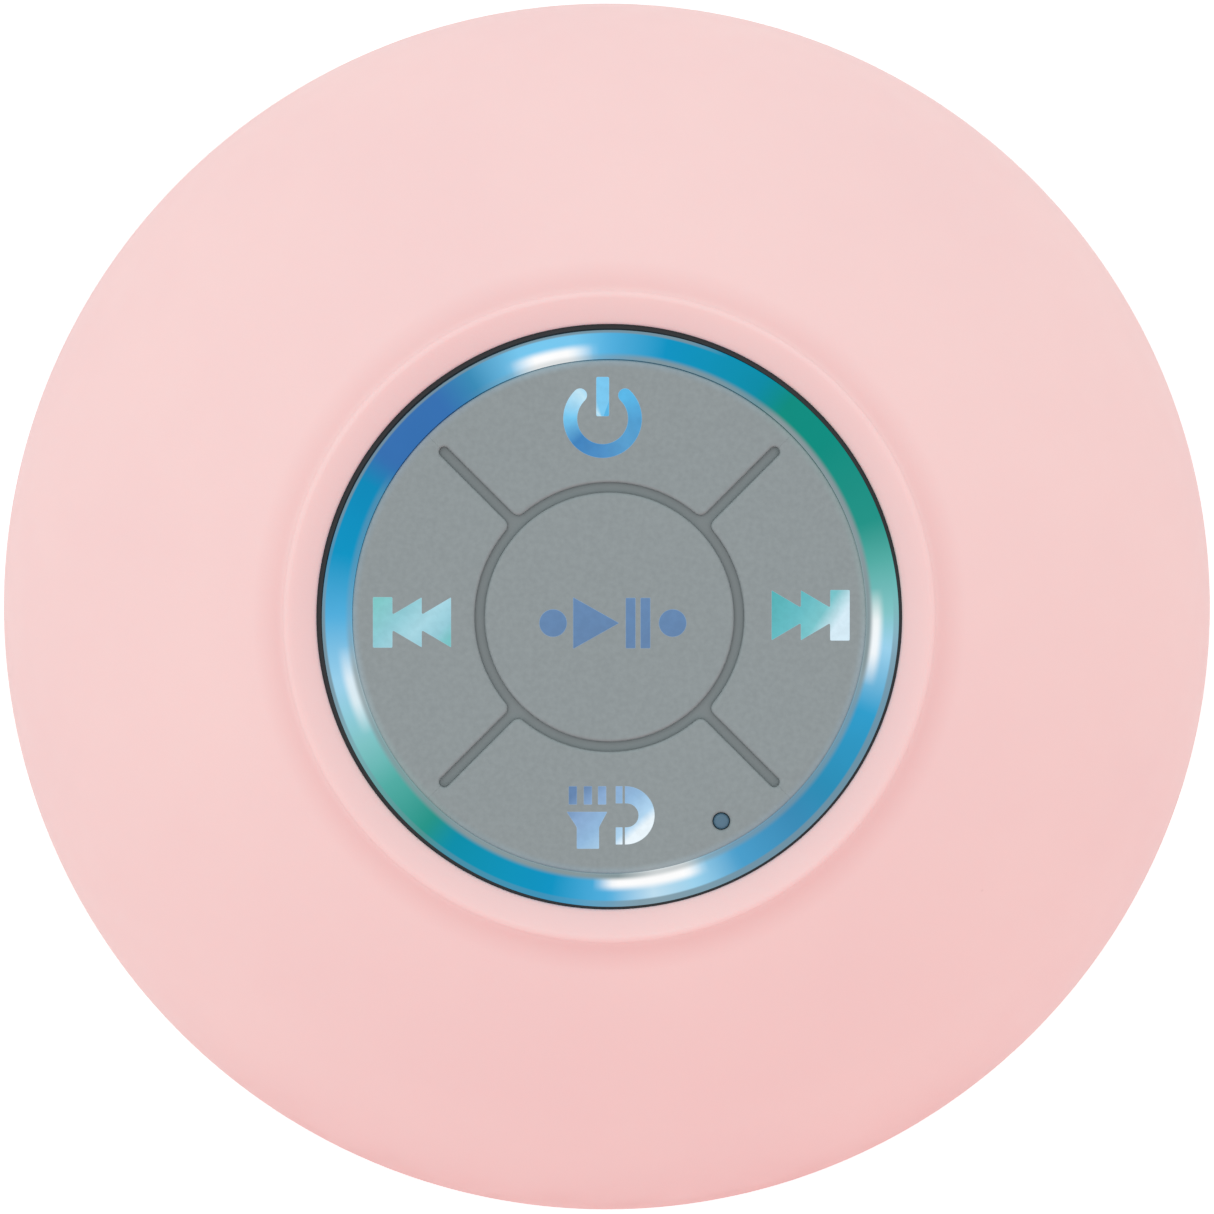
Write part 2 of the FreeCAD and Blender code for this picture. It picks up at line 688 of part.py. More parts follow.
def speaker_frame():
    """Pressed steel basket: flange with three ears, ledge, open cone wall and back plate."""
    z, top, wall = frame_z, frame_top_z, frame_wall
    basket = turned(
        (18.4, z), (driver_radius, z), (driver_radius, z + wall), (18.9, z + wall),
        (18.7, z + 2 * wall), (14.8, top), (7.8, top), (7.8, top - wall), (14.3, top - wall),
        (17.6, z + 2 * wall), (16.7, z + 2 * wall), (16.7, z + wall), (18.4, z + wall),
    )
    ears = [disc(2.2, z, z + wall, *on_circle(driver_ear_circle, a)) for a in DRIVER_EAR_ANGLES]
    bridges = [spun(block(driver_radius - 1.2, driver_ear_circle, -1.6, 1.6, z, z + wall), a)
               for a in DRIVER_EAR_ANGLES]
    tab = block(12.0, 18.6, -3.6, 3.6, top - wall, top)
    frame = fused([basket] + ears + bridges + [tab])
    for a in DRIVER_EAR_ANGLES:
        frame = frame.cut(disc(0.95, z - 1, z + 2, *on_circle(driver_ear_circle, a)))
    window = block(12.0, 22.0, -4.2, 4.2, z + 2.6, top - 3 * wall)
    for k in range(6):
        frame = frame.cut(spun(window, 60.0 * k + 30.0))
    return frame


def speaker_screws():
    return group(pan_screw(0.8, 1.6, 1.0, frame_z + frame_wall, 3.4,
                           *on_circle(driver_ear_circle, a), up=-1) for a in DRIVER_EAR_ANGLES)


def speaker_surround():
    """Rubber half-roll between the cone and the frame."""
    z, wall = frame_z + frame_wall, 0.35
    middle, outer_roll = 16.25, 1.05
    inner_roll = outer_roll - wall
    return turned(
        (14.3, z), (14.3, z - wall), (middle - outer_roll, z - wall),
        ((middle, z - wall - outer_roll + 0.05), (middle + outer_roll, z - wall)),
        (18.3, z - wall), (18.3, z), (middle + inner_roll, z), (middle + inner_roll, z - wall),
        ((middle, z - wall - inner_roll + 0.05), (middle - inner_roll, z - wall)),
        (middle - inner_roll, z),
    )


def speaker_cone():
    """Paper cone, facing the wall, open side down."""
    z, neck_r = frame_z + frame_wall, former_outer + 0.1
    return turned(
        (15.3, z), (15.3, z + 0.35), (14.3, z + 0.4), (neck_r, neck_z), (neck_r, neck_z - 0.5),
        (14.1, z),
    )


def dust_cap():
    """Domed paper cap that closes the cone's neck."""
    radius, edge_z, apex_z, wall = 7.3, neck_z - 1.1, 22.2, 0.3
    inner_r = radius - wall
    outer = turned((radius, edge_z), crown(radius, edge_z, apex_z), (0, edge_z))
    inner = turned((inner_r, edge_z), crown(inner_r, edge_z, apex_z + wall), (0, edge_z))
    return outer.cut(inner)


def coil_former():
    """Thin tube from the cone's neck into the magnet's gap."""
    return ring(former_outer - 0.15, former_outer, neck_z - 0.9, frame_top_z + 2.6)


def voice_coil():
    return ring(former_outer + 0.02, former_outer + 0.45, frame_top_z - 0.5, frame_top_z + 2.5)


def speaker_spider():
    """Corrugated cloth disc that centres the voice coil."""
    inner, pitch, folds = 7.2, 0.6, 12
    z, rise, wall = 26.3, 0.4, 0.25
    ridge = [(inner + pitch * k, z + (rise if k % 2 else -rise)) for k in range(1, folds)]
    lower = [(inner - 0.45, z), (inner, z)] + ridge + [(inner + pitch * folds, z)]
    upper = [(r, height + wall) for r, height in reversed(lower)]
    return turned(*lower, *upper)


def front_washer():
    return ring(7.6, motor_radius, frame_top_z, frame_top_z + washer_wall)


def magnet():
    z = frame_top_z + washer_wall
    return ring(9.0, motor_radius + 0.5, z, z + magnet_wall)


def yoke():
    """Back plate with the pole that stands inside the voice coil."""
    z = frame_top_z + washer_wall + magnet_wall
    plate = disc(motor_radius, z, z + yoke_wall)
    plate = plate.makeChamfer(0.6, edges_at(plate, z + yoke_wall))
    return fused([plate, disc(6.0, frame_top_z + 0.2, z + 0.2)])


def speaker_terminals():
    """Terminal strip with two solder tags."""
    top_z = frame_top_z + 0.8
    board = block(14.9, 18.4, -3.4, 3.4, frame_top_z, top_z)
    tags = [block(16.2, 18.0, y - 0.8, y + 0.8, top_z, tag_top_z) for y in (-tag_y, tag_y)]
    return fused([board] + tags)


def speaker_lead(side):
    y = tag_y * side
    return lead((17.2, y, tag_top_z), (20.2, y, 38.0), (17.6, y, board_bottom_z), 0.5)


def acoustic_mesh():
    """Waterproof membrane behind the grille slots."""
    return ring(7.6, 17.0, cover_z + cover_wall, cover_z + cover_wall + 0.2)


# ---- suction cup --------------------------------------------------------------------------------
def suction_cup():
    """Soft cup with a flat lip, a hub that holds the stud, and a release tab."""
    inner = cup_radius - cup_lip
    cup = turned(
        (inner, 0),
        (cup_radius, 0),
        ((cup_radius + 0.35, 0.45), (cup_radius, 0.9)),
        ((21.0, 4.0), (12.0, 5.9)),
        ((10.2, 6.4), (cup_hub_radius, 7.6)),
        (cup_hub_radius, hub_z - 0.1),
        (neck_radius + running_gap, hub_z - 0.1),
        (neck_radius + running_gap, 7.65),
        (6.05, 7.65),
        (6.05, 5.95),
        (0, 5.95),
        (0, 0),
    )
    cup = cup.cut(turned((0, 0), (inner, 0), crown(inner, 0, cup_hollow)))
    tab = block(cup_radius - 1.2, cup_radius + 4.2, -3.6, 3.6, 0.25, 1.15)
    corners = [e for e in edges_along(tab, AXIS_Z) if e.CenterOfMass.x > cup_radius]
    tab = spun(tab.makeFillet(2.4, corners), 90.0)
    tab = tab.cut(disc(cup_radius - 0.9, -1, 2))
    return fused([cup, tab])


def cup_stud():
    """Split snap stud: its foot is held in the cup's hub and its head turns in the cover's socket."""
    head_z = cover_z + 0.45
    stud = turned(
        (0, 6.0), (6.0, 6.0), (6.0, 7.6), (neck_radius, 7.6), (neck_radius, head_z),
        (socket_radius - 0.5, head_z), (socket_radius - 0.5, head_z + 0.8), (3.4, head_z + 2.8),
        (0, head_z + 2.8),
    )
    return stud.cut(block(-0.6, 0.6, -7, 7, hub_z + 0.4, head_z + 4))


PARTS = {
    "dome_skin": dome_skin,
    "front_shell": front_shell,
    "rear_cover": rear_cover,
    "housing_seal": housing_seal,
    "housing_screws": housing_screws,
    "light_ring": light_ring,
    "keypad_web": keypad_web,
    "key_play": key_play,
    "switch_cases": switch_cases,
    "ring_leds": ring_leds,
    "key_leds": key_leds,
    "main_board": main_board,
    "board_screws": board_screws,
    "microphone": microphone,
    "mic_boot": mic_boot,
    "audio_chip": audio_chip,
    "amplifier_chip": amplifier_chip,
    "board_capacitors": board_capacitors,
    "chip_antenna": chip_antenna,
    "battery": battery,
    "battery_pad": battery_pad,
    "battery_lead_red": lambda: battery_lead(1),
    "battery_lead_black": lambda: battery_lead(-1),
    "charge_board": charge_board,
    "charge_board_screws": charge_board_screws,
    "charge_lead_red": lambda: charge_lead(1),
    "charge_lead_black": lambda: charge_lead(-1),
    "usb_shell": usb_shell,
    "usb_tongue": usb_tongue,
    "port_plug": port_plug,
    "plug_anchor": plug_anchor,
    "speaker_gasket": speaker_gasket,
    "speaker_frame": speaker_frame,
    "speaker_screws": speaker_screws,
    "speaker_surround": speaker_surround,
    "speaker_cone": speaker_cone,
    "dust_cap": dust_cap,
    "coil_former": coil_former,
    "voice_coil": voice_coil,
    "speaker_spider": speaker_spider,
    "front_washer": front_washer,
    "magnet": magnet,
    "yoke": yoke,
    "speaker_terminals": speaker_terminals,
    "speaker_lead_red": lambda: speaker_lead(1),
    "speaker_lead_black": lambda: speaker_lead(-1),
    "acoustic_mesh": acoustic_mesh,
    "suction_cup": suction_cup,
    "cup_stud": cup_stud,
}
for key_name in KEY_ANGLES:
    PARTS["key_" + key_name] = lambda key_name=key_name: outer_key(key_name)
for key_name in switch_places():
    PARTS["plunger_" + key_name] = lambda key_name=key_name: plunger(key_name)

os.makedirs("parts", exist_ok=True)
for node, make in PARTS.items():
    make().exportStep("parts/%s.step" % node)
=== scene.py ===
"""Looks of a round shower speaker, built around its CAD frame.

Sizes are in millimetres, and become metres in the meshes. Angles are in degrees, counted from +X.
The speaker lies face up: +Z points out of its control panel and +Y towards its power key.
"""
import json
import math

import bmesh
import bpy
from mathutils import Matrix, Vector


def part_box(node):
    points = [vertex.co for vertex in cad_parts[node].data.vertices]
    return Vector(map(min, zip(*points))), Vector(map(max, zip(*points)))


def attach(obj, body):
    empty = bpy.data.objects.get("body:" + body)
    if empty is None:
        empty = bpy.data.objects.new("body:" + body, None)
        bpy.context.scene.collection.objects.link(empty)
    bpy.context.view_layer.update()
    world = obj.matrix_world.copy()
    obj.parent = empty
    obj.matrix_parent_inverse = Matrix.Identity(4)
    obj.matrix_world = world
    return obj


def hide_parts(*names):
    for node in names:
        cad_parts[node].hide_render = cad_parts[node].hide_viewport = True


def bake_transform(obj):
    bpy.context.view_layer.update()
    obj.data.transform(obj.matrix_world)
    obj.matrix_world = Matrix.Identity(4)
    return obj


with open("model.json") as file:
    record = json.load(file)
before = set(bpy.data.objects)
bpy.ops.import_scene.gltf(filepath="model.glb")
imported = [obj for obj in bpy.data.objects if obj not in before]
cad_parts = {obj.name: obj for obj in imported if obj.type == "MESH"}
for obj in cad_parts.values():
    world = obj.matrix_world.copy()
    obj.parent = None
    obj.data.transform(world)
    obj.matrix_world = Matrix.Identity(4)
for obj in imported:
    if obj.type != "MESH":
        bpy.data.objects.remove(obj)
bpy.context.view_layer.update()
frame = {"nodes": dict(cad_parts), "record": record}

MM = 0.001


def box_of(node):
    """A CAD node's lowest and highest corners, in millimetres."""
    low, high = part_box(node)
    return low / MM, high / MM


# ---- sizes --------------------------------------------------------------------------------------
skin_low, skin_high = box_of("dome_skin")
ring_low, ring_high = box_of("light_ring")
play_low, play_high = box_of("key_play")
cup_high = box_of("suction_cup")[1]

body_radius = skin_high.y
crest_z = skin_high.z
hem_z = skin_low.z
rim_radius = 6.0                    # round of the dome's lower rim
girth_z = hem_z + rim_radius        # where the dome is widest
dome_rise = 30.7                    # half height of the dome's ellipse
skin_wall = 1.8
hem_inner = 35.9

lip_inner = 20.0                    # the skin's opening
lip_z = 53.0                        # underside of the lip that laps over the bezel
skin_inner = 20.2                   # skin's inner wall round the bezel
crest_radius = 22.25                # outer side of the collar
collar_foot = 26.0                  # where the collar's sweep has run out into the dome

ring_outer = ring_high.x
flange_lap = 0.15                   # how far the lit ring's flange laps over the bezel
flange_shift = (0.075, -0.115)      # how far off centre that flange sits

key_top_z = play_high.z
cap_low_z = key_top_z - 1.6         # underside of the keys' caps
nub_low_z = play_low.z              # underside of the nubs below them
key_round = 0.22                    # round of the caps' top edges
groove_floor_z = key_top_z - 0.36
nub_radius = 1.5
switch_circle = 11.8                # where the outer keys' nubs sit
play_radius = 8.52                  # round centre key
sector_inner = 9.19                 # inner side of the four outer keys
groove_half = 0.345                 # half width of the grooves between outer keys
groove_end = 16.28                  # how far out those grooves run
groove_corner = 0.6                 # length of the round where they meet the ring-shaped groove
corner_angle = math.degrees((groove_half + groove_corner) / sector_inner)
hair_half = 0.003                   # half gap between neighbouring keys beyond the grooves
keypad_radius = box_of("key_next")[1].x
ring_inner = keypad_radius + 0.07
mic_x, mic_y = 7.65, -13.95
mic_radius = 0.6
KEY_ANGLES = {"power": 90.0, "previous": 180.0, "light": 270.0, "next": 0.0}

cup_radius = cup_high.x - 0.35      # rim of the suction cup
cup_inner = cup_radius - 1.4        # inner side of the lip that touches the wall
cup_hollow = 4.2                    # depth of its hollow at the centre
CUP_RIBS = (24.6, 25.9, 27.2)       # radii of the sealing ribs in that hollow

port_face = 35.6                    # distance of the port plug's face from the axis
port_z = 16.75

TURNS = 288                         # segments round the axis


# ---- outlines -----------------------------------------------------------------------------------
def arc(centre, radius, start, end, steps=10):
    """Points along a circle's arc, both ends included."""
    angles = [math.radians(start + (end - start) * k / steps) for k in range(steps + 1)]
    return [(centre[0] + radius * math.cos(a), centre[1] + radius * math.sin(a)) for a in angles]


def sweep(a, b, c, d, steps=16):
    """Points along the cubic curve from a to d that sets out towards b and arrives from c."""
    points = []
    for k in range(steps + 1):
        t = k / steps
        shares = ((1 - t) ** 3, 3 * t * (1 - t) ** 2, 3 * t * t * (1 - t), t ** 3)
        points.append(tuple(sum(s * p[i] for s, p in zip(shares, (a, b, c, d))) for i in (0, 1)))
    return points


def fillet(start, corner, end, steps=5):
    """Points of a curve from start to end that cuts the corner."""
    points = []
    for k in range(steps + 1):
        t = k / steps
        shares = ((1 - t) ** 2, 2 * t * (1 - t), t * t)
        points.append(tuple(sum(s * p[i] for s, p in zip(shares, (start, corner, end))) for i in (0, 1)))
    return points


def rounded(corners, radius):
    """Closed outline through the corners, each one rounded off."""
    points = []
    for k, here in enumerate(corners):
        corner = Vector(here)
        sides = [Vector(corners[k - 1]) - corner, Vector(corners[(k + 1) % len(corners)]) - corner]
        start, end = [corner + s.normalized() * min(radius, 0.45 * s.length) for s in sides]
        points += fillet(start, corner, end)
    return points


def box_outline(x0, x1, y0, y1, radius):
    """Rectangle with round corners."""
    return rounded([(x0, y0), (x1, y0), (x1, y1), (x0, y1)], radius)


def circle(x, y, radius, steps=32):
    """Closed circle, without a repeated first point."""
    return arc((x, y), radius, 0, 360 - 360 / steps, steps - 1)


def turned(points, angle):
    """Points turned about the origin."""
    c, s = math.cos(math.radians(angle)), math.sin(math.radians(angle))
    return [(x * c - y * s, x * s + y * c) for x, y in points]


def tidy(outline):
    """Closed outline without its repeated points."""
    return [p for p, q in zip(outline, outline[1:] + outline[:1]) if math.dist(p, q) > 1e-4]


def clamped(value):
    """Value kept between 0 and 1."""
    return min(1.0, max(0.0, value))


# ---- meshes -------------------------------------------------------------------------------------
def finished(name, build, sharp=40.0):
    """Object from a bmesh in millimetres, smooth shaded with its sharp edges kept."""
    bmesh.ops.recalc_face_normals(build, faces=build.faces)
    bmesh.ops.scale(build, vec=(MM, MM, MM), verts=build.verts)
    mesh = bpy.data.meshes.new(name)
    build.to_mesh(mesh)
    build.free()
    mesh.shade_smooth()
    mesh.set_sharp_from_angle(angle=math.radians(sharp))
    piece = bpy.data.objects.new(name, mesh)
    bpy.context.scene.collection.objects.link(piece)
    return piece


def ring_of_points(build, r, z, turns):
    """Points round the axis, or a single point on it."""
    if r < 1e-6:
        return [build.verts.new((0, 0, z))]
    angles = [2 * math.pi * k / turns for k in range(turns)]
    return [build.verts.new((r * math.cos(a), r * math.sin(a), z)) for a in angles]


def join_rings(build, first, second):
    """Band of faces between two closed rings of points, either of which may be a single point."""
    count = max(len(first), len(second))
    for k in range(count if count > 1 else 0):
        corners = [first[k % len(first)], first[(k + 1) % len(first)],
                   second[(k + 1) % len(second)], second[k % len(second)]]
        build.faces.new(list(dict.fromkeys(corners)))


def lathe(outline, turns=TURNS):
    """Solid of revolution about Z from a closed outline of (r, z) points, as a bmesh."""
    build = bmesh.new()
    rings = [ring_of_points(build, r, z, turns) for r, z in tidy(outline)]
    for first, second in zip(rings, rings[1:] + rings[:1]):
        join_rings(build, first, second)
    return build


def inset(outline, distance, held=()):
    """Outline moved to its left by distance, apart from the edges that start at a held point."""
    count = len(outline)
    moved = []
    for k, here in enumerate(outline):
        sides, steps = [], []
        for start in ((k - 1) % count, k):
            a, b = outline[start], outline[(start + 1) % count]
            sides.append(Vector((a[1] - b[1], b[0] - a[0])).normalized())
            steps.append(0.0 if start in held else distance)
        turn = sides[0].dot(sides[1])
        if steps[0] == steps[1]:
            shift = (sides[0] + sides[1]) * steps[0] / max(0.3, 1 + turn)
        else:
            shift = sides[0] * (steps[0] - turn * steps[1]) + sides[1] * (steps[1] - turn * steps[0])
            shift /= 1 - turn * turn
        moved.append((here[0] + shift.x, here[1] + shift.y))
    return moved


def close_flat(build, rings):
    """Flat faces between closed rings of points that lie in one plane."""
    edges = [build.edges.get((a, b)) or build.edges.new((a, b))
             for ring in rings for a, b in zip(ring, ring[1:] + ring[:1])]
    bmesh.ops.triangle_fill(build, edges=edges, use_beauty=True)


def plate(build, outline, low, high, edge, holes=(), held=(), nub=None, steps=4):
    """Adds a slab with a rounded top edge. Holes run clockwise; nub is (x, y, radius, z) below it."""
    levels = [(0.0, low)]
    for k in range(steps + 1):
        a = math.pi / 2 * k / steps
        levels.append((edge * (1 - math.cos(a)), high - edge * (1 - math.sin(a))))
    floor, roof = [], []
    for loop, still in [(outline, held)] + [(hole, ()) for hole in holes]:
        rings = [[build.verts.new((x, y, z)) for x, y in inset(loop, distance, still)]
                 for distance, z in levels]
        for first, second in zip(rings, rings[1:]):
            join_rings(build, first, second)
        floor.append(rings[0])
        roof.append(rings[-1])
    if nub:
        x, y, radius, bottom = nub
        stub = [[build.verts.new((px, py, z)) for px, py in circle(x, y, radius)] for z in (low, bottom)]
        join_rings(build, *stub)
        close_flat(build, stub[1:])
        floor.append(stub[0])
    close_flat(build, floor)
    close_flat(build, roof)


def even_shading(piece):
    """Keeps the light even over large flat faces next to small rounded ones."""
    even = piece.modifiers.new("even_shading", "WEIGHTED_NORMAL")
    even.keep_sharp = True
    return piece


# ---- materials ----------------------------------------------------------------------------------
def paint(red, green, blue):
    """Shader colour from screen values of 0 to 255."""
    linear = [((c / 255 + 0.055) / 1.055) ** 2.4 if c > 10 else c / 255 / 12.92
              for c in (red, green, blue)]
    return (*linear, 1.0)


class Nodes:
    """A node tree that is built one node at a time."""

    def __init__(self, tree):
        self.tree = tree

    def add(self, kind, inputs=None, **settings):
        """New shader node; an input takes a value or another node's output."""
        node = self.tree.nodes.new("ShaderNode" + kind)
        for key, value in settings.items():
            setattr(node, key, value)
        for key, value in (inputs or {}).items():
            self.feed(node.inputs[key], value)
        return node

    def feed(self, socket, value):
        """Sets an input to a value, or links it to an output."""
        if isinstance(value, bpy.types.NodeSocket):
            self.tree.links.new(value, socket)
        else:
            socket.default_value = value


class Look(Nodes):
    """A procedural material: one Principled shader, and the nodes that feed it."""

    def __init__(self, name):
        self.material = bpy.data.materials.new(name)
        self.material.use_nodes = True
        super().__init__(self.material.node_tree)
        self.shader = self.tree.nodes["Principled BSDF"]
        metres = self.add("TexCoord").outputs["Object"]
        self.place = self.add("VectorMath", {0: metres, "Scale": 1 / MM}, operation="SCALE").outputs[0]

    def maths(self, operation, a, b=0.0):
        """Result of one Math node."""
        return self.add("Math", {0: a, 1: b}, operation=operation).outputs[0]

    def axes(self, vector=None):
        """X, Y and Z of a vector, or of the place in millimetres."""
        return self.add("SeparateXYZ", {0: vector or self.place}).outputs

    def noise(self, size, detail=2.0, stretch=(1, 1, 1)):
        """Cloudy pattern, 0 to 1, with features of this size."""
        place = self.add("VectorMath", {0: self.place, 1: stretch}, operation="MULTIPLY").outputs[0]
        return self.add("TexNoise", {"Vector": place, "Scale": 1 / size, "Detail": detail}).outputs[0]

    def span(self, value, low, high, start=0.0, end=1.0):
        """Value mapped smoothly from low..high to start..end, and held outside it."""
        node = self.add("MapRange", {"Value": value, "From Min": low, "From Max": high,
                                     "To Min": start, "To Max": end}, interpolation_type="SMOOTHSTEP")
        return node.outputs[0]

    def ramp(self, factor, stops):
        """Colour by factor; stops are (position, colour) in rising order."""
        node = self.add("ValToRGB", {"Fac": factor})
        elements = node.color_ramp.elements
        elements.remove(elements[1])
        elements[0].position, elements[0].color = stops[0]
        for position, colour in stops[1:]:
            elements.new(position).color = colour
        return node.outputs[0]

    def mix(self, factor, a, b, blend="MIX"):
        """Colour between a and b."""
        node = self.add("Mix", {0: factor, 6: a, 7: b}, data_type="RGBA", blend_type=blend)
        return node.outputs[2]

    def radius(self):
        """Distance from the speaker's axis."""
        flat = self.add("VectorMath", {0: self.place, 1: (1, 1, 0)}, operation="MULTIPLY").outputs[0]
        return self.add("VectorMath", {0: flat}, operation="LENGTH").outputs["Value"]

    def turn(self, centre=(0, 0), seam=0.0):
        """Share of a full turn round the centre, counted from the seam's angle."""
        pivot = (*centre, 0)
        spun = self.add("VectorRotate", {"Vector": self.place, "Center": pivot,
                                         "Angle": -math.radians(seam)}, rotation_type="Z_AXIS")
        away = self.add("VectorMath", {0: spun.outputs[0], 1: pivot}, operation="SUBTRACT")
        x, y, _ = self.axes(away.outputs[0])
        return self.maths("FRACT", self.maths("DIVIDE", self.maths("ARCTAN2", y, x), 2 * math.pi))

    def along(self, start, end):
        """Share of the way from the start point to the end point."""
        way = Vector(end) - Vector(start)
        from_start = self.add("VectorMath", {0: self.place, 1: (*start, 0)}, operation="SUBTRACT")
        share = self.add("VectorMath", {0: from_start.outputs[0], 1: (*(way / way.length_squared), 0)},
                         operation="DOT_PRODUCT")
        return share.outputs["Value"]

    def bump(self, *layers):
        """Relief from (pattern, height) layers."""
        normal = None
        for pattern, height in layers:
            inputs = {"Height": pattern, "Distance": height * MM}
            if normal:
                inputs["Normal"] = normal
            normal = self.add("Bump", inputs).outputs[0]
        self.feed(self.shader.inputs["Normal"], normal)

    def set(self, **inputs):
        """Shader inputs by name, with underscores for spaces."""
        for key, value in inputs.items():
            self.feed(self.shader.inputs[key.replace("_", " ")], value)
        return self.material


def shade(colour, share):
    """Colour made darker, or brighter with a share over 1."""
    return (*(c * share for c in colour[:3]), 1.0)


PAINTED_COLLAR_SHADE = (                    # radius and tone: painted shade inside the lip, and in the crease round the collar
    (20.0, (0.87, 0.89, 0.9)), (20.5, (0.94, 0.95, 0.96)), (22.0, (1, 1, 1)), (22.2, (1, 1, 1)),
    (22.6, (0.965, 0.9, 0.9)), (22.9, (0.965, 0.9, 0.9)), (24.4, (1, 1, 1)),
)


def silicone_pink():
    """Pale pink silicone with dust specks, and painted shade inside the lip and in the crease round the
    collar.
    """
    look = Look("silicone_pink")
    cloud = look.ramp(look.noise(24, 3), [(0.35, paint(238, 204, 202)), (0.65, paint(236, 201, 200))])
    # painted shade in bands round the axis: inside the lip and in the crease round the collar
    stops = [(r / body_radius, (*tone, 1.0)) for r, tone in PAINTED_COLLAR_SHADE]
    collar = look.ramp(look.maths("DIVIDE", look.radius(), body_radius), stops)
    clean = look.mix(1.0, cloud, collar, "MULTIPLY")
    cells = look.add("TexVoronoi", {"Vector": look.place, "Scale": 1 / 9})
    rare = look.maths("GREATER_THAN", look.axes(cells.outputs["Color"])[0], 0.8)
    speck = look.maths("MULTIPLY", look.span(cells.outputs["Distance"], 0.022, 0.01), rare)
    look.bump((look.noise(0.14, 3), 0.006), (look.noise(1.6, 2), 0.012))
    return look.set(
        Base_Color=look.mix(look.maths("MULTIPLY", speck, 0.3), clean, paint(190, 140, 140)),
        Roughness=look.span(look.noise(3, 4), 0.3, 0.7, 0.5, 0.62),
        Subsurface_Weight=0.1,
        Subsurface_Radius=(1.0, 0.4, 0.35),
        Subsurface_Scale=0.001,
        Specular_IOR_Level=0.35,
    )


RING_SEAM = 40.0                    # the angle from which the ring's light is listed
RING_TONES = {
    "green": (12, 141, 128), "emerald": (35, 148, 136), "sea": (82, 172, 164), "aqua": (130, 198, 200),
    "teal": (8, 142, 169), "deep": (10, 138, 186), "blue": (12, 149, 197), "steel": (43, 141, 182),
    "azure": (48, 158, 205), "royal": (54, 112, 178), "denim": (58, 140, 184), "soft": (75, 160, 206),
    "sky": (83, 176, 223), "bright": (119, 200, 240), "ice": (157, 211, 238), "mist": (190, 222, 240),
}
RING_HUES = (
    (40, "green"), (50, "green"), (57, "teal"), (78, "blue"), (90, "sky"), (97, "bright"),
    (109, "bright"), (120, "denim"), (128, "royal"), (145, "royal"), (151, "deep"), (167, "blue"),
    (180, "sky"), (194, "ice"), (207, "aqua"), (217, "sea"), (229, "emerald"), (235, "teal"),
    (258, "blue"), (270, "sky"), (279, "mist"), (288, "ice"), (298, "soft"), (312, "denim"),
    (322, "steel"), (340, "azure"), (354, "ice"), (361, "aqua"), (372, "sea"), (380, "emerald"),
    (399, "green"),
)
HOT_SPOTS = (                       # angle, half width, half width at full strength, strength
    (102.5, 9.5, 4.0, 1.0), (196.0, 10.0, 2.5, 0.6), (279.0, 12.0, 8.0, 1.0), (355.5, 10.5, 3.5, 0.85),
)
OUTER_GREY = (                      # angle and greyness of the ring's outer edge: its clear rim, with a painted highlight
    (66, 0.0), (74, 1.0), (158, 0.9), (168, 0.3), (180, 1.0), (198, 0.9), (208, 0.5), (262, 0.25),
    (276, 0.9), (352, 0.8), (366, 0.0),
)
INNER_GREY = (                      # and of its inner edge, also a clear rim with a painted highlight
    (50, 1.0), (55, 0.65), (66, 0.8), (80, 0.9), (92, 0.4), (112, 0.3), (124, 0.0), (146, 0.0),
    (152, 0.3), (180, 0.3), (192, 0.8), (225, 0.8), (236, 1.0), (272, 1.0), (280, 0.5), (296, 0.6),
    (318, 0.55), (340, 0.7), (350, 1.0),
)


def round_ring(look, stops):
    """Colour at each angle round the lit ring, from (angle, colour) pairs."""
    shares = [((angle - RING_SEAM) / 360, colour) for angle, colour in stops]
    return look.ramp(look.turn(seam=RING_SEAM), shares)


def ring_level(look, levels):
    """Value at each angle round the lit ring, from (angle, value) pairs."""
    return round_ring(look, [(angle, (level, level, level, 1.0)) for angle, level in levels])


def ring_hue(look):
    """Colour of the lit ring at each angle."""
    return round_ring(look, [(angle, paint(*RING_TONES[tone])) for angle, tone in RING_HUES])


def diffuser():
    """Lit from within: white over the lamps on the inner half, and greyer at both clear edges, with their
    highlights painted into the glow.
    """
    look = Look("diffuser")
    radius = look.radius()
    hot_levels = [level for angle, half, core, strength in HOT_SPOTS for level in (
        (angle - half, 0.0), (angle - core, strength), (angle + core, strength), (angle + half, 0.0))]
    inner_half = look.span(radius, ring_inner + 0.65, ring_inner + 1.25, 1.0, 0.0)
    hot = look.maths("MULTIPLY", ring_level(look, hot_levels), inner_half)
    colour = look.mix(hot, ring_hue(look), paint(255, 255, 255))
    # the grey at both edges is the clear rim with a painted highlight in its glow
    outer_edge = look.span(radius, ring_outer - 0.22, ring_outer - 0.08, 0.0, 0.95)
    outer_grey = look.maths("MULTIPLY", outer_edge, ring_level(look, OUTER_GREY))
    colour = look.mix(outer_grey, colour, paint(120, 146, 158))
    inner_edge = look.span(radius, ring_inner + 0.1, ring_inner + 0.5, 1.0, 0.0)
    inner_grey = look.maths("MULTIPLY", inner_edge, ring_level(look, INNER_GREY))
    colour = look.mix(inner_grey, colour, paint(135, 152, 156))
    look.bump((look.noise(0.9, 2), 0.004))
    return look.set(
        Base_Color=paint(2, 2, 3),
        Emission_Color=colour,
        Emission_Strength=look.span(look.noise(3, 2), 0.3, 0.7, 0.97, 1.0),
        Roughness=look.span(look.noise(2, 3), 0.3, 0.7, 0.2, 0.3),
        Specular_IOR_Level=0.03,
    )


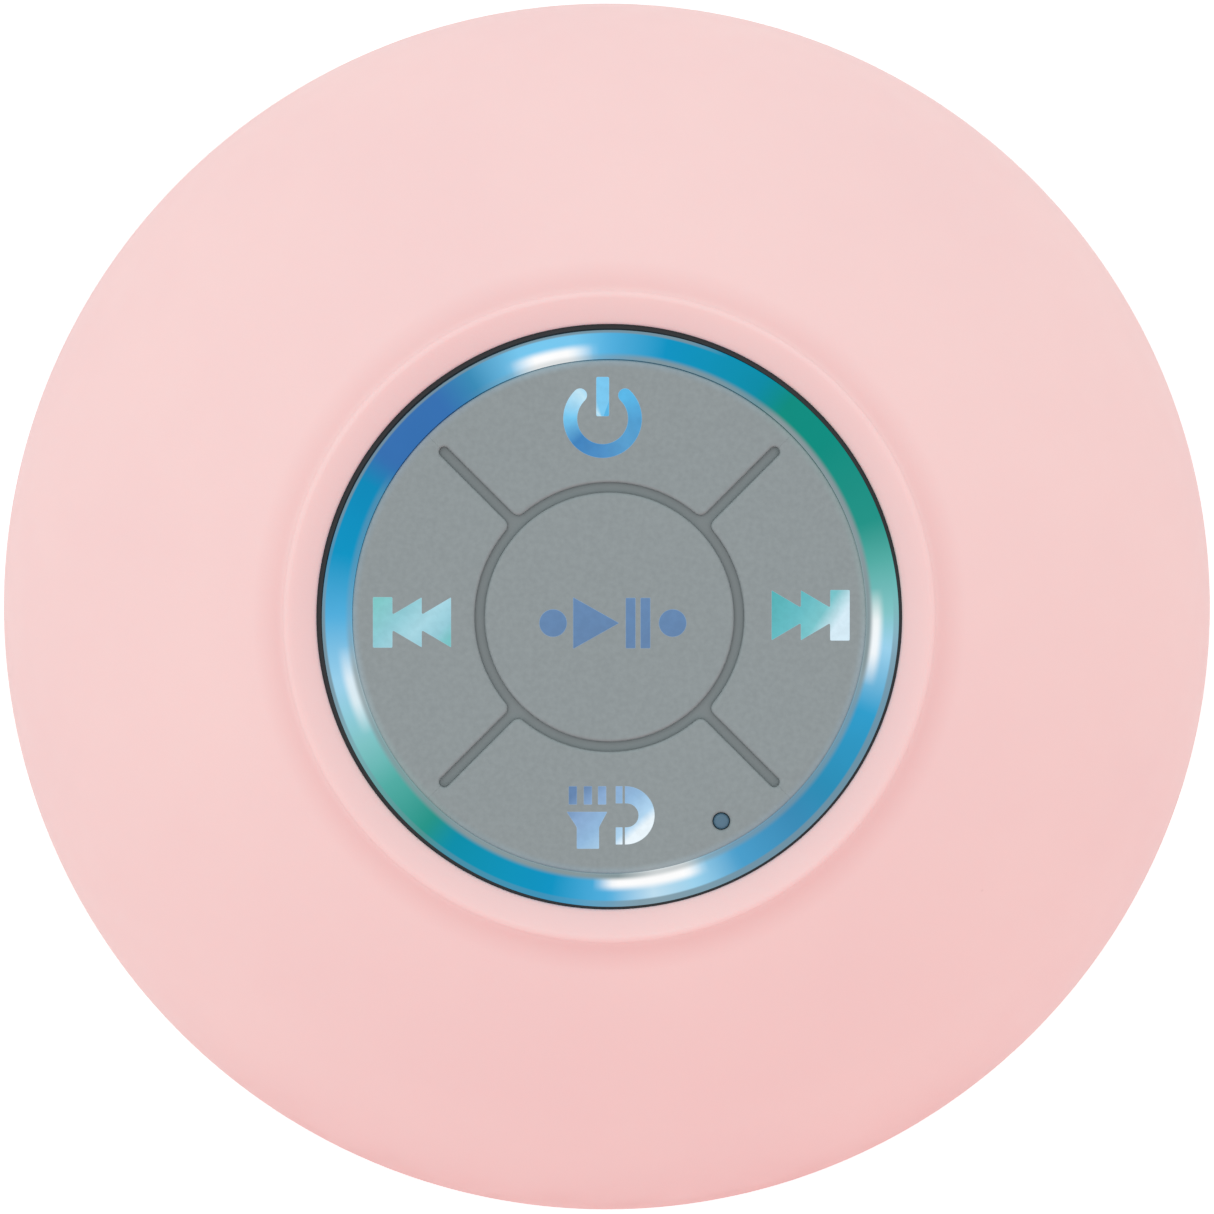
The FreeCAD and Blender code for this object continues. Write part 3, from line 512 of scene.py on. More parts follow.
def silicone_grey():
    """Key silicone, with painted shade down in its grooves and a painted glow from the ring at its rim."""
    look = Look("silicone_grey")
    base = paint(135, 146, 148)
    grain = look.ramp(look.noise(0.35, 4), [(0.3, shade(base, 0.95)), (0.7, shade(base, 1.05))])
    # painted shade: the key silicone gets darker the deeper it lies in the grooves
    depth = look.span(look.axes()[2], groove_floor_z, key_top_z - 0.12, 0.0, 1.0)
    # painted glow: the ring's light on the keys' outer rim, given as emission in the ring's colours
    rim = look.span(look.radius(), keypad_radius - 0.6, keypad_radius, 0.0, 0.12)
    look.bump((look.noise(0.1, 3), 0.004), (look.noise(2.2, 2), 0.006))
    return look.set(
        Base_Color=look.mix(depth, shade(base, 0.78), grain),
        Roughness=look.span(look.noise(1.5, 4), 0.3, 0.7, 0.52, 0.64),
        Specular_IOR_Level=0.3,
        Emission_Color=ring_hue(look),
        Emission_Strength=rim,
    )


def symbol(name, factor_of, stops):
    """Lit symbol with a pale edge; factor_of(look) places the colour stops."""
    look = Look(name)
    glow = look.ramp(factor_of(look), [(p, paint(*c)) for p, c in stops])
    normal = look.add("NewGeometry").outputs["Normal"]
    rim = look.span(look.axes(normal)[2], 0.97, 0.7, 0.0, 0.55)
    look.bump((look.noise(0.12, 2), 0.003))
    return look.set(
        Base_Color=paint(30, 36, 42),
        Emission_Color=look.mix(rim, glow, paint(190, 215, 232)),
        Emission_Strength=look.span(look.noise(0.5, 3), 0.3, 0.7, 0.93, 1.0),
        Roughness=look.span(look.noise(0.8, 3), 0.3, 0.7, 0.4, 0.55),
        Specular_IOR_Level=0.2,
    )


def soft_rubber(name, colour, roughness=0.6):
    """Matt moulded rubber with fine grain and a faint bloom."""
    look = Look(name)
    bloom = look.ramp(look.noise(1.8, 5), [(0.35, shade(colour, 0.95)), (0.7, shade(colour, 1.1))])
    look.bump((look.noise(0.12, 3), 0.004), (look.noise(1.4, 2), 0.008))
    return look.set(
        Base_Color=bloom,
        Roughness=look.span(look.noise(2, 4), 0.3, 0.7, roughness - 0.06, roughness + 0.06),
        Specular_IOR_Level=0.35,
    )


def moulded_plastic(name, colour, roughness=0.45, texture=0.008):
    """Plastic with a spark-eroded texture, in patches of slightly different shine."""
    look = Look(name)
    tone = look.ramp(look.noise(8, 3), [(0.35, shade(colour, 0.9)), (0.65, shade(colour, 1.15))])
    look.bump((look.noise(0.18, 4), texture))
    return look.set(
        Base_Color=tone,
        Roughness=look.span(look.noise(4, 4), 0.3, 0.7, roughness - 0.06, roughness + 0.08),
        Specular_IOR_Level=0.35,
    )


def metal(name, colour, roughness=0.3, stretch=(1, 1, 1)):
    """Bare metal with tool marks and stains."""
    look = Look(name)
    tone = look.ramp(look.noise(3, 4), [(0.3, shade(colour, 0.75)), (0.6, colour)])
    look.bump((look.noise(0.2, 3, stretch), 0.004))
    return look.set(
        Base_Color=tone,
        Metallic=1.0,
        Roughness=look.span(look.noise(1, 4, stretch), 0.3, 0.7, roughness - 0.08, roughness + 0.12),
    )


def cloth(name, colour, pitch):
    """Woven cloth of two thread directions."""
    look = Look(name)
    x, y, _ = look.axes()
    threads = [look.maths("SINE", look.maths("MULTIPLY", a, 2 * math.pi / pitch)) for a in (x, y)]
    weave = look.maths("MULTIPLY", *threads)
    tone = look.ramp(look.span(weave, -1, 1), [(0.2, shade(colour, 0.6)), (0.8, shade(colour, 1.2))])
    look.bump((weave, pitch * 0.2), (look.noise(0.1, 3), 0.01))
    return look.set(
        Base_Color=tone,
        Roughness=look.span(look.noise(1, 3), 0.3, 0.7, 0.75, 0.9),
        Sheen_Weight=0.2,
    )


def circuit_board():
    """Green board with a pattern of tracks under its lacquer."""
    look = Look("board_green")
    tracks = look.add("TexBrick", {"Vector": look.place, "Scale": 0.45, "Mortar Size": 0.03,
                                   "Color1": paint(14, 92, 52), "Color2": paint(10, 84, 47),
                                   "Mortar": paint(30, 120, 66)})
    look.bump((tracks.outputs["Fac"], 0.02), (look.noise(0.4, 2), 0.004))
    return look.set(
        Base_Color=tracks.outputs["Color"],
        Roughness=look.span(look.noise(3, 3), 0.3, 0.7, 0.25, 0.4),
        Coat_Weight=0.3,
    )


def foam():
    """Black open-cell foam."""
    look = Look("foam_black")
    cells = look.add("TexVoronoi", {"Vector": look.place, "Scale": 1 / 0.5}).outputs["Distance"]
    look.bump((cells, 0.12))
    return look.set(
        Base_Color=look.ramp(cells, [(0.1, paint(24, 24, 26)), (0.7, paint(58, 58, 60))]),
        Roughness=look.span(look.noise(2, 3), 0.3, 0.7, 0.85, 0.95),
    )


def foil():
    """Creased silver pouch of the battery."""
    look = Look("cell_foil")
    creases = look.noise(4, 5, (1, 3, 1))
    look.bump((creases, 0.15), (look.noise(0.3, 2), 0.006))
    return look.set(
        Base_Color=look.ramp(creases, [(0.3, paint(186, 188, 192)), (0.7, paint(216, 218, 220))]),
        Metallic=0.85,
        Roughness=look.span(creases, 0.3, 0.7, 0.28, 0.42),
    )


def wound_wire():
    """Copper wire wound in close turns."""
    look = Look("coil_wire")
    z = look.axes()[2]
    turns = look.maths("SINE", look.maths("MULTIPLY", z, 2 * math.pi / 0.12))
    look.bump((turns, 0.03))
    return look.set(
        Base_Color=look.ramp(look.span(turns, -1, 1), [(0, paint(120, 60, 30)), (1, paint(205, 120, 66))]),
        Metallic=0.9,
        Roughness=look.span(look.noise(1, 3), 0.3, 0.7, 0.25, 0.4),
    )


FINISHES = {
    "silicone_pink": silicone_pink(),
    "silicone_grey": silicone_grey(),
    "silicone_black": soft_rubber("silicone_black", paint(44, 44, 47)),
    "plastic_black": moulded_plastic("plastic_black", paint(36, 39, 42)),
    "diffuser": diffuser(),
    "steel_screw": metal("steel_screw", paint(196, 196, 194), 0.3, (1, 8, 1)),
    "board_green": circuit_board(),
    "chip_black": moulded_plastic("chip_black", paint(38, 38, 41), 0.6, 0.01),
    "led_white": moulded_plastic("led_white", paint(228, 226, 205), 0.25, 0.003),
    "mic_can": metal("mic_can", paint(214, 208, 186), 0.25),
    "capacitor_tan": moulded_plastic("capacitor_tan", paint(178, 148, 112), 0.5, 0.006),
    "cell_foil": foil(),
    "foam_black": foam(),
    "lead_red": soft_rubber("lead_red", paint(170, 28, 24), 0.4),
    "lead_black": soft_rubber("lead_black", paint(36, 36, 38), 0.4),
    "usb_metal": metal("usb_metal", paint(210, 210, 212), 0.22, (6, 1, 6)),
    "frame_steel": moulded_plastic("frame_steel", paint(58, 58, 62), 0.35, 0.006),
    "ferrite": moulded_plastic("ferrite", paint(62, 62, 66), 0.55, 0.02),
    "pole_steel": metal("pole_steel", paint(200, 200, 196), 0.28),
    "cone_paper": cloth("cone_paper", paint(52, 52, 54), 0.9),
    "former_film": moulded_plastic("former_film", paint(184, 132, 70), 0.2, 0.002),
    "coil_wire": wound_wire(),
    "spider_cloth": cloth("spider_cloth", paint(196, 170, 118), 0.5),
    "mesh_cloth": cloth("mesh_cloth", paint(70, 70, 74), 0.4),
}
SLOTS = {part["node"]: part["material_slot"] for part in frame["record"]["subparts"]}


def dress(piece, slot):
    """Gives a piece the finish of one of the record's material slots."""
    piece.data.materials.clear()
    piece.data.materials.append(FINISHES[slot])


# ---- the dome -----------------------------------------------------------------------------------
def dome_height(r, thinner=0.0):
    """Height of the dome's ellipse at radius r, with both half axes shortened."""
    wide, high = body_radius - thinner, dome_rise - thinner
    return girth_z + high * math.sqrt(max(0.0, 1 - (r / wide) ** 2))


def dome_curve(start, end, thinner=0.0, steps=60):
    """Points of that ellipse between two radii, evenly spread by angle."""
    wide = body_radius - thinner
    a, b = math.acos(start / wide), math.acos(end / wide)
    radii = [wide * math.cos(a + (b - a) * k / steps) for k in range(steps + 1)]
    return [(r, dome_height(r, thinner)) for r in radii]


def dome_skin():
    """Silicone skin with its collar, dome and tucked-in hem."""
    edge, lip_round, sweep_in = 0.35, 0.3, 2.2
    lip = (lip_inner + lip_round, lip_z + 0.2)
    crest = (crest_radius - edge, crest_z - edge)
    rim_centre = (body_radius - rim_radius, girth_z)
    foot = (collar_foot, dome_height(collar_foot))
    slope = Vector(foot) - Vector((collar_foot - 0.1, dome_height(collar_foot - 0.1)))
    before_foot = Vector(foot) - slope.normalized() * sweep_in
    outline = [(skin_inner, dome_height(skin_inner, skin_wall)), (skin_inner, lip_z), (lip_inner, lip_z)]
    outline += arc(lip, lip_round, 180, 110)
    outline += arc(crest, edge, 110, 5)
    outline += sweep(outline[-1], (crest_radius + 0.12, crest_z - 1.0), tuple(before_foot), foot)
    outline += dome_curve(collar_foot, body_radius, steps=90)
    outline += arc(rim_centre, rim_radius, 0, -90, 24)
    outline += arc((hem_inner + edge, hem_z + edge), edge, -90, -180, 5)
    outline += arc((hem_inner + edge, hem_z + skin_wall - edge), edge, 180, 90, 5)
    outline += arc(rim_centre, rim_radius - skin_wall, -90, 0, 16)
    outline += dome_curve(body_radius - skin_wall, skin_inner, skin_wall)
    skin = finished("silicone_skin", lathe(outline))
    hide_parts("dome_skin")
    dress(skin, "silicone_pink")
    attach(skin, "housing")


# ---- the lit ring -------------------------------------------------------------------------------
def light_ring():
    """Ring-shaped diffuser with a softly domed face and a thin flange that laps over the bezel."""
    top = ring_high.z
    edge, sag = 0.15, 0.02
    flange_r, flange_z, flange_wall = ring_outer + flange_lap, top - 0.27, 0.07
    shift_start, shift_run = 18.9, 0.4
    outline = [(ring_inner, ring_low.z)]
    outline += arc((ring_inner + edge, top - sag - edge), edge, 180, 90, 5)
    outline += sweep((ring_inner + edge, top - sag), (ring_inner + 0.7, top + 0.03),
                     (flange_r - 0.6, top - sag), (flange_r - 0.08, flange_z + 0.08))
    outline += [(flange_r, flange_z), (flange_r, flange_z - flange_wall)]
    outline += [(ring_outer, flange_z - flange_wall), (ring_outer, ring_low.z)]
    build = lathe(outline)
    for vert in build.verts:
        if vert.co.z > flange_z - 0.1:
            share = clamped((vert.co.xy.length - shift_start) / shift_run)
            vert.co.x += flange_shift[0] * share
            vert.co.y += flange_shift[1] * share
    ring = finished("lit_ring", build)
    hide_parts("light_ring")
    dress(ring, "diffuser")
    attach(ring, "housing")


# ---- the keys -----------------------------------------------------------------------------------
def groove_side():
    """Side of the groove along +X, from the ring-shaped groove out to its round end."""
    corner = (math.sqrt(sector_inner ** 2 - groove_half ** 2), groove_half)
    side = fillet(arc((0, 0), sector_inner, corner_angle, corner_angle)[0], corner,
                  (corner[0] + groove_corner, groove_half))
    end_angle = math.degrees(math.asin(hair_half / groove_half))
    return side + arc((groove_end - groove_half, 0), groove_half, 90, end_angle, 8)


def outer_key(name, angle):
    """Sector key that only parts from its neighbours by a hairline beyond the grooves."""
    side = groove_side()
    hair_angle = math.degrees(hair_half / keypad_radius)
    rim = arc((0, 0), keypad_radius, hair_angle, 90 - hair_angle, 60)
    outline = side + rim + [(y, x) for x, y in reversed(side)]
    outline += arc((0, 0), sector_inner, 90 - corner_angle, corner_angle, 40)[1:-1]
    hairlines = (len(side) - 1, len(side) + len(rim) - 1)
    nub = turned([(switch_circle, 0)], angle)[0]
    holes = [circle(mic_x, mic_y, mic_radius)[::-1]] if name == "light" else []
    build = bmesh.new()
    plate(build, turned(outline, angle - 45), cap_low_z, key_top_z, key_round, holes, hairlines,
          (*nub, nub_radius, nub_low_z))
    return build


def play_key():
    """Round centre key with its nub."""
    build = bmesh.new()
    plate(build, circle(0, 0, play_radius, 120), cap_low_z, key_top_z, key_round,
          nub=(0, 0, nub_radius, nub_low_z))
    return build


def keys():
    """The five keys and the floor of the grooves between them."""
    for name, angle in [("play", 0.0)] + list(KEY_ANGLES.items()):
        build = play_key() if name == "play" else outer_key(name, angle)
        key = even_shading(finished("cap_" + name, build))
        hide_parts("key_" + name)
        dress(key, "silicone_grey")
        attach(key, name + "_key")
    side = groove_side()
    quarter = side[::-1] + arc((0, 0), sector_inner, corner_angle, 90 - corner_angle, 40)[1:-1]
    quarter += [(y, x) for x, y in side]
    cross = tidy([p for k in range(4) for p in turned(quarter, 90 * k + 45)])
    build = bmesh.new()
    plate(build, inset(cross, 0.004), groove_floor_z - 0.3, groove_floor_z, 0.005,
          [circle(0, 0, play_radius + 0.004, 120)[::-1]])
    floor = finished("groove_floor", build)
    dress(floor, "silicone_grey")
    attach(floor, "housing")


# ---- the symbols --------------------------------------------------------------------------------
def ring_arc(centre, middle, width, start, end):
    """Outline of a band along a circle, with round ends."""
    half = width / 2
    ends = [arc(centre, middle, a, a)[0] for a in (end, start)]
    points = arc(centre, middle + half, start, end, 48)
    points += arc(ends[0], half, end, end + 180)
    points += arc(centre, middle - half, end, start, 48)
    points += arc(ends[1], half, start + 180, start + 360)
    return points


def skip_outline(centre, way):
    """Bar and two triangles that run into each other, pointing along way (-1 or 1)."""
    bar, pitch, depth, half = 1.38, 2.0, 2.96, 1.75
    length = bar + 2 * pitch
    notch = half * (depth - pitch) / depth
    lower = [(0, -half), (bar, -half), (bar, -notch), (bar + pitch, -half), (bar + pitch, -notch),
             (length, -half)]
    corners = lower + [(x, -y) for x, y in reversed(lower)]
    corners = [(centre[0] - way * (x - length / 2), centre[1] - way * y) for x, y in corners]
    if way > 0:
        corners = [(x, 2 * centre[1] - y) for x, y in reversed(corners)]
    return rounded(corners, 0.12)


POWER_CENTRE = (-0.46, 13.54)


def power_outlines():
    """Open ring with a bar in its gap."""
    x, y = POWER_CENTRE
    return [ring_arc((x, y), 2.21, 1.0, 134, 406), box_outline(x - 0.46, x + 0.47, y + 0.14, y + 2.87, 0.15)]


def play_outlines():
    """Dot, triangle, two bars and dot, in a row."""
    y = -0.41
    dots = [circle(dot_x, y, 0.97) for dot_x in (-3.84, 4.32)]
    triangle = rounded([(-2.50, y - 1.81), (0.72, y), (-2.50, y + 1.81)], 0.12)
    bars = [box_outline(x, x + 0.72, y - 1.75, y + 1.75, 0.08) for x in (1.09, 2.10)]
    return dots + [triangle] + bars


def light_outlines():
    """Torch with three rays, and a hook with split ends."""
    rays = [box_outline(x, x + 0.61, -12.83, -11.53, 0.08) for x in (-2.80, -1.77, -0.80)]
    head = [(-2.25, -15.85), (-0.68, -15.85), (-0.68, -14.36), (-0.10, -13.28), (-2.96, -13.28),
            (-2.25, -14.36)]
    middle, outer, inner = -13.545, 2.015, 0.795
    hook = [(1.04, middle - outer)] + arc((1.10, middle), outer, -88, 88, 32) + [(1.04, middle + outer)]
    hook += [(1.04, middle + inner)] + arc((1.175, middle), inner, 88, -88, 24)
    hook += [(1.04, middle - inner)]
    tips = [box_outline(0.41, 0.92, middle + side - 0.61, middle + side + 0.61, 0.05)
            for side in (-1.405, 1.405)]
    return rays + [rounded(head, 0.1), hook] + tips


SYMBOLS = {                         # outlines, and the colours along a line or round a centre
    "power": (power_outlines, lambda look: look.turn(POWER_CENTRE, 70), (
        (0.0, (116, 197, 238)), (0.10, (116, 197, 238)), (0.17, (190, 228, 244)), (0.30, (112, 197, 238)),
        (0.42, (46, 124, 186)), (0.55, (64, 136, 194)), (0.68, (78, 154, 204)), (0.80, (70, 154, 206)),
        (0.92, (80, 180, 230)))),
    "previous": (lambda: [skip_outline((-13.47, -0.36), -1)],
                 lambda look: look.along((-15.6, 1.4), (-11.6, -2.2)), (
        (0.0, (122, 198, 196)), (0.35, (140, 200, 210)), (0.62, (164, 213, 225)), (0.85, (146, 201, 214)),
        (1.0, (116, 194, 196)))),
    "next": (lambda: [skip_outline((13.74, 0.12), 1)],
             lambda look: look.along((11.4, 1.8), (16.2, -1.4)), (
        (0.0, (74, 174, 178)), (0.35, (94, 184, 192)), (0.6, (116, 194, 200)), (0.82, (212, 234, 245)))),
    "play": (play_outlines, lambda look: look.along((0, 1.4), (0, -2.2)), (
        (0.0, (96, 132, 176)), (0.5, (92, 128, 171)), (1.0, (92, 126, 168)))),
    "light": (light_outlines, lambda look: look.along((-1.6, -11.4), (2.2, -15.6)), (
        (0.0, (92, 126, 170)), (0.25, (134, 168, 208)), (0.5, (142, 182, 218)), (0.74, (174, 211, 238)),
        (0.84, (234, 245, 251)))),
}


def symbols():
    """Lit inlays that stand a hair above their keys."""
    sink, stand = 0.05, 0.02
    for key, (outlines, factor_of, stops) in SYMBOLS.items():
        build = bmesh.new()
        for outline in outlines():
            plate(build, tidy(outline), key_top_z - sink, key_top_z + stand, 0.07)
        inlay = finished("symbol_" + key, build, 80)
        inlay.data.materials.append(symbol("symbol_" + key, factor_of, stops))
        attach(inlay, key + "_key")


def mic_window():
    """Small glossy window sunk in the microphone hole."""
    radius, depth, top = mic_radius - 0.02, 0.5, key_top_z - 0.12
    outline = [(0, top - depth), (radius, top - depth)]
    outline += sweep((radius, top - 0.3), (radius, top), (radius / 2, top), (0, top), 10)
    build = lathe(outline, 40)
    bmesh.ops.translate(build, vec=(mic_x, mic_y, 0), verts=build.verts)
    window = finished("mic_window", build)
    window.data.materials.append(moulded_plastic("mic_window", paint(74, 106, 126), 0.12, 0.001))
    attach(window, "light_key")


# ---- the back -----------------------------------------------------------------------------------
def hollow_height(r):
    """Height of the cup's underside: part of a ball, with sealing ribs near the lip."""
    ball = (cup_inner ** 2 + cup_hollow ** 2) / (2 * cup_hollow)
    rib = sum(clamped(1 - abs(r - middle) / 0.35) for middle in CUP_RIBS)
    return max(0.0, cup_hollow - ball + math.sqrt(ball ** 2 - r ** 2) - 0.14 * rib)


def cup_outline():
    """Half section of the cup: hollow, lip, upper side, hub, and the pocket for the stud's foot."""
    steps = 143
    hub_radius, hub_round = 9.0, 0.4
    bore_radius, bore_round = 3.55, 0.3
    foot_radius, foot_low, foot_high = 6.05, 5.95, 7.65
    radii = [cup_inner * k / steps for k in range(steps + 1)]
    outline = [(r, hollow_height(r)) for r in radii] + [(cup_inner + 0.4, 0), (cup_radius - 0.1, 0)]
    outline += sweep((cup_radius, 0.02), (cup_radius + 0.42, 0.1), (cup_radius + 0.42, 0.8),
                     (cup_radius - 0.05, 0.9), 8)
    outline += sweep((cup_radius - 0.3, 0.98), (26.0, 2.7), (17.0, 5.3), (12.0, 5.9), 40)
    outline += sweep((11.95, 5.91), (10.2, 6.3), (hub_radius, 6.6), (hub_radius, 7.7), 10)
    outline += arc((hub_radius - hub_round, cup_high.z - hub_round), hub_round, 0, 90, 5)
    outline += arc((bore_radius + bore_round, cup_high.z - bore_round), bore_round, 90, 180, 4)
    outline += [(bore_radius, foot_high), (foot_radius, foot_high), (foot_radius, foot_low), (0, foot_low)]
    return outline


def draw_out_tab(build):
    """Draws the cup's lip out into a pull tab on the +Y side."""
    reach = cup_high.y - cup_radius - 0.36
    half_width, shoulder, wall = 4.8, 2.8, 1.3
    for vert in build.verts:
        x, y, z = vert.co
        if y > 0 and z < wall:
            along = clamped((vert.co.xy.length - cup_radius + 0.9) / 0.8)
            across = clamped((half_width - abs(x)) / shoulder)
            vert.co.y += reach * along * across * across * (3 - 2 * across)


def suction_cup():
    """Cup with sealing ribs, a soft hub and a pull tab."""
    build = lathe(cup_outline(), 384)
    draw_out_tab(build)
    cup = finished("rubber_cup", build, 50)
    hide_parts("suction_cup")
    dress(cup, "silicone_black")
    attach(cup, "suction_mount")


def soften(node_name, width):
    """Rounds the sharp edges of a CAD node a little."""
    node = frame["nodes"][node_name]
    weld = node.modifiers.new("weld", "WELD")
    weld.merge_threshold = 0.002 * MM
    bevel = node.modifiers.new("soft_edges", "BEVEL")
    bevel.width = width * MM
    bevel.segments = 2
    bevel.limit_method = "ANGLE"
    bevel.angle_limit = math.radians(40)
    even_shading(node)


def upright(name, slot, body, *slabs):
    """Piece from slabs (outline in X and Z, near and far distance towards -Y, edge)."""
    build = bmesh.new()
    for outline, near, far, edge in slabs:
        plate(build, tidy(outline), near, far, edge)
    bmesh.ops.rotate(build, matrix=Matrix.Rotation(math.pi / 2, 3, "X"), verts=build.verts)
    piece = even_shading(finished(name, build))
    dress(piece, slot)
    if body:
        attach(piece, body)
    return piece


def port_plug():
    """Flap over the charging port with a nose, a ribbed pull lip and a strap to its fixed end."""
    lip_low, lip_high = port_z - 1.5, port_z + 1.5
    flap = box_outline(-7.3, 7.3, 14.2, 19.3, 0.9)
    lip = box_outline(6.6, 8.9, lip_low, lip_high, 0.55)
    slabs = [(flap, port_face - 1.2, port_face, 0.3), (lip, port_face - 0.8, port_face + 0.3, 0.25)]
    for x in (7.2, 7.7, 8.2):
        rib = box_outline(x - 0.13, x + 0.13, lip_low + 0.5, lip_high - 0.5, 0.12)
        slabs.append((rib, port_face, port_face + 0.4, 0.1))
    plug = upright("plug_flap", "silicone_black", "port_plug", *slabs)
    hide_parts("port_plug")
    half, end_round = 3.95, 1.07
    nose = box_outline(-half, half, port_z - end_round, port_z + end_round, end_round)
    upright("plug_nose", "silicone_black", "port_plug", (nose, port_face - 2.4, port_face - 1.1, 0.1))
    band = box_outline(-8.3, -7.0, lip_low + 0.1, lip_high - 0.1, 0.1)
    strap = upright("plug_strap", "silicone_black", None, (band, port_face - 0.42, port_face - 0.06, 0.1))
    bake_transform(strap)


# ---- the driver's soft parts --------------------------------------------------------------------
def stretched(name, node, outline):
    """Ring turned from an outline, put in place of a CAD node with that node's finish."""
    ring = finished(name, lathe(outline, 180))
    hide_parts(node)
    dress(ring, SLOTS[node])
    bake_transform(ring)


def speaker_surround():
    """Rubber ring: a flange under the frame's ledge, a roll, and an upright leg to a lip on the cone."""
    seat = box_of("speaker_surround")[1].z
    wall = 0.3
    flange, middle, leg, lip = 18.3, 16.4, 15.45, 13.35     # radii from the outside in
    roll = middle - leg
    roll_z, lip_top = seat - 0.35, seat + 1.1
    leg_heights = [seat - 0.2 + 0.13 * k for k in range(11)]
    outline = [(flange, seat), (flange, roll_z)] + arc((middle, roll_z), roll, 0, -180, 16)
    outline += [(leg, z) for z in leg_heights]
    outline += [(lip, lip_top + 0.05), (lip, lip_top + wall), (leg + wall - 0.1, lip_top + wall)]
    outline += [(leg + wall, z) for z in reversed(leg_heights)]
    outline += arc((middle, roll_z), roll - wall, -180, 0, 16) + [(middle + roll - wall, seat)]
    stretched("rubber_surround", "speaker_surround", outline)


def speaker_spider():
    """Cupped cloth disc with ripples, from the frame up to the voice coil's former."""
    inner, outer, low, high, wall = 7.2, 14.4, 24.9, 26.0, 0.2
    ripple_height, pitch, steps = 0.12, 1.2, 96
    lower = [(inner - 0.5, high)]
    for k in range(steps + 1):
        r = inner + (outer - inner) * k / steps
        ripple = ripple_height * math.sin(2 * math.pi * (r - inner) / pitch)
        lower.append((r, high + (low - high) * k / steps + ripple))
    lower.append((outer + 0.9, low))
    upper = [(r, z + wall) for r, z in reversed(lower)]
    stretched("cloth_spider", "speaker_spider", lower + upper)


# ---- studio -------------------------------------------------------------------------------------
def studio_floor():
    """Pale floor, not seen from below, and open under the cup so that light gets into its hollow."""
    reach, opening = 4000.0, cup_inner - 1.0
    look = Look("studio_floor")
    look.set(
        Base_Color=look.ramp(look.noise(400, 2), [(0.4, paint(247, 247, 247)), (0.6, paint(249, 249, 249))]),
        Roughness=0.9,
        Emission_Color=paint(255, 255, 255),
        Emission_Strength=look.span(look.add("LightPath").outputs["Is Camera Ray"], 0, 1, 0.05, 0.4),
        Specular_IOR_Level=0.0,
    )
    clear = look.add("BsdfTransparent").outputs[0]
    behind = look.add("NewGeometry").outputs["Backfacing"]
    either = look.add("MixShader", {0: behind, 1: look.shader.outputs[0], 2: clear}).outputs[0]
    look.tree.links.new(either, look.tree.nodes["Material Output"].inputs[0])
    build = bmesh.new()
    join_rings(build, *[ring_of_points(build, r, 0.0, 96) for r in (reach, opening)])
    floor = finished("studio_floor", build)
    if floor.data.polygons[0].normal.z < 0:
        floor.data.flip_normals()
    floor.data.materials.append(look.material)


def studio_world():
    """Even white surroundings, warmer and dimmer on the -Y side."""
    world = bpy.data.worlds.new("studio")
    world.use_nodes = True
    nodes = Nodes(world.node_tree)
    nodes.tree.nodes.clear()
    bright, warm = (1.05, 1.05, 1.05, 1.0), (1.05, 0.42, 0.41, 1.0)
    way = nodes.add("TexCoord").outputs["Generated"]
    facing = nodes.add("VectorMath", {0: way, 1: (0.3, -0.95, -0.1)}, operation="DOT_PRODUCT")
    share = nodes.add("MapRange", {"Value": facing.outputs["Value"], "From Min": 0.42, "From Max": 1.0})
    light = nodes.add("Mix", {0: share.outputs[0], 6: bright, 7: warm}, data_type="RGBA")
    seen = nodes.add("LightPath").outputs["Is Camera Ray"]
    colour = nodes.add("Mix", {0: seen, 6: light.outputs[2], 7: (1, 1, 1, 1)}, data_type="RGBA")
    background = nodes.add("Background", {"Color": colour.outputs[2], "Strength": 1.0})
    nodes.add("OutputWorld", {"Surface": background.outputs[0]})
    bpy.context.scene.world = world


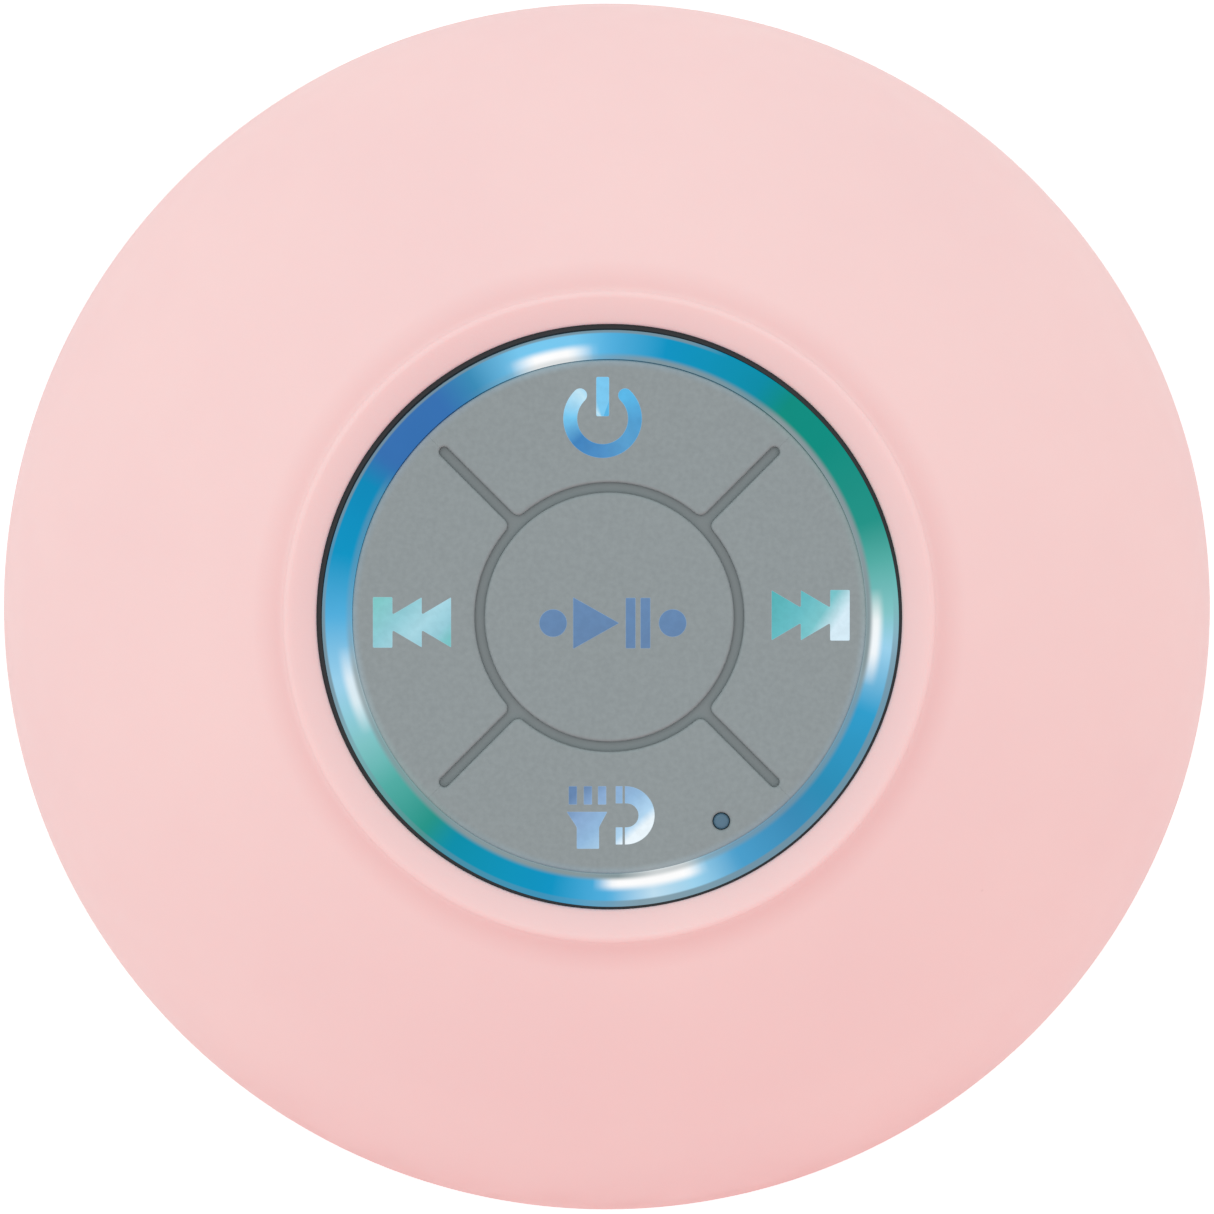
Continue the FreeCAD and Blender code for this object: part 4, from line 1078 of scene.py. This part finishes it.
def soft_light(name, place, size, power):
    """Square softbox that faces the speaker."""
    lamp = bpy.data.lights.new(name, "AREA")
    lamp.size = size
    lamp.energy = power
    light = bpy.data.objects.new(name, lamp)
    light.location = place
    light.rotation_euler = (Vector((0, 0, girth_z * MM)) - Vector(place)).to_track_quat("-Z", "Y").to_euler()
    bpy.context.scene.collection.objects.link(light)


def coral_card():
    """Coral card low on the -Y side, which only shows in the reflections at the dome's edge."""
    half, near, far, height = 48, -46, -90, 3
    corners = ((-half, near), (half, near), (half, far), (-half, far))
    build = bmesh.new()
    build.faces.new([build.verts.new((x, y, height)) for x, y in corners])
    card = finished("coral_card", build)
    look = Look("coral_card")
    tone = look.ramp(look.noise(60), [(0.4, paint(205, 50, 46)), (0.6, paint(209, 56, 52))])
    card.data.materials.append(look.set(
        Base_Color=paint(0, 0, 0),
        Specular_IOR_Level=0.0,
        Emission_Color=tone,
        Emission_Strength=1.0,
    ))
    card.visible_camera = False
    card.visible_diffuse = False
    card.visible_shadow = False


def studio_camera():
    """Camera square on to the panel, a touch towards the power key and the left."""
    distance, picture_width = 600.0, 86.65
    towards_power, towards_left = math.radians(1.5), math.radians(0.35)
    away = Vector((-math.sin(towards_left), math.sin(towards_power), 1)).normalized()
    right = Vector((0, 1, 0)).cross(away).normalized()
    up = away.cross(right)
    lens = bpy.data.cameras.new("camera")
    lens.sensor_width = 36.0
    lens.lens = lens.sensor_width * distance / picture_width
    camera = bpy.data.objects.new("camera", lens)
    place = Matrix((right, up, away)).transposed().to_4x4()
    place.translation = (Vector((0, 0, girth_z)) + away * distance) * MM
    camera.matrix_world = place
    bpy.context.scene.collection.objects.link(camera)
    bpy.context.scene.camera = camera


# ---- assembly -----------------------------------------------------------------------------------
for node_name, slot_name in SLOTS.items():
    for place in frame["nodes"][node_name].material_slots:
        place.material = FINISHES[slot_name]

dome_skin()
light_ring()
keys()
symbols()
mic_window()
suction_cup()
port_plug()
speaker_surround()
speaker_spider()
for node_name, width in (("rear_cover", 0.15), ("plug_anchor", 0.12), ("cup_stud", 0.15)):
    soften(node_name, width)
studio_floor()
studio_world()
coral_card()
soft_light("key_light", (-0.45, 0.6, 0.95), 0.7, 0.8)
studio_camera()
bpy.context.scene.view_settings.view_transform = "Standard"
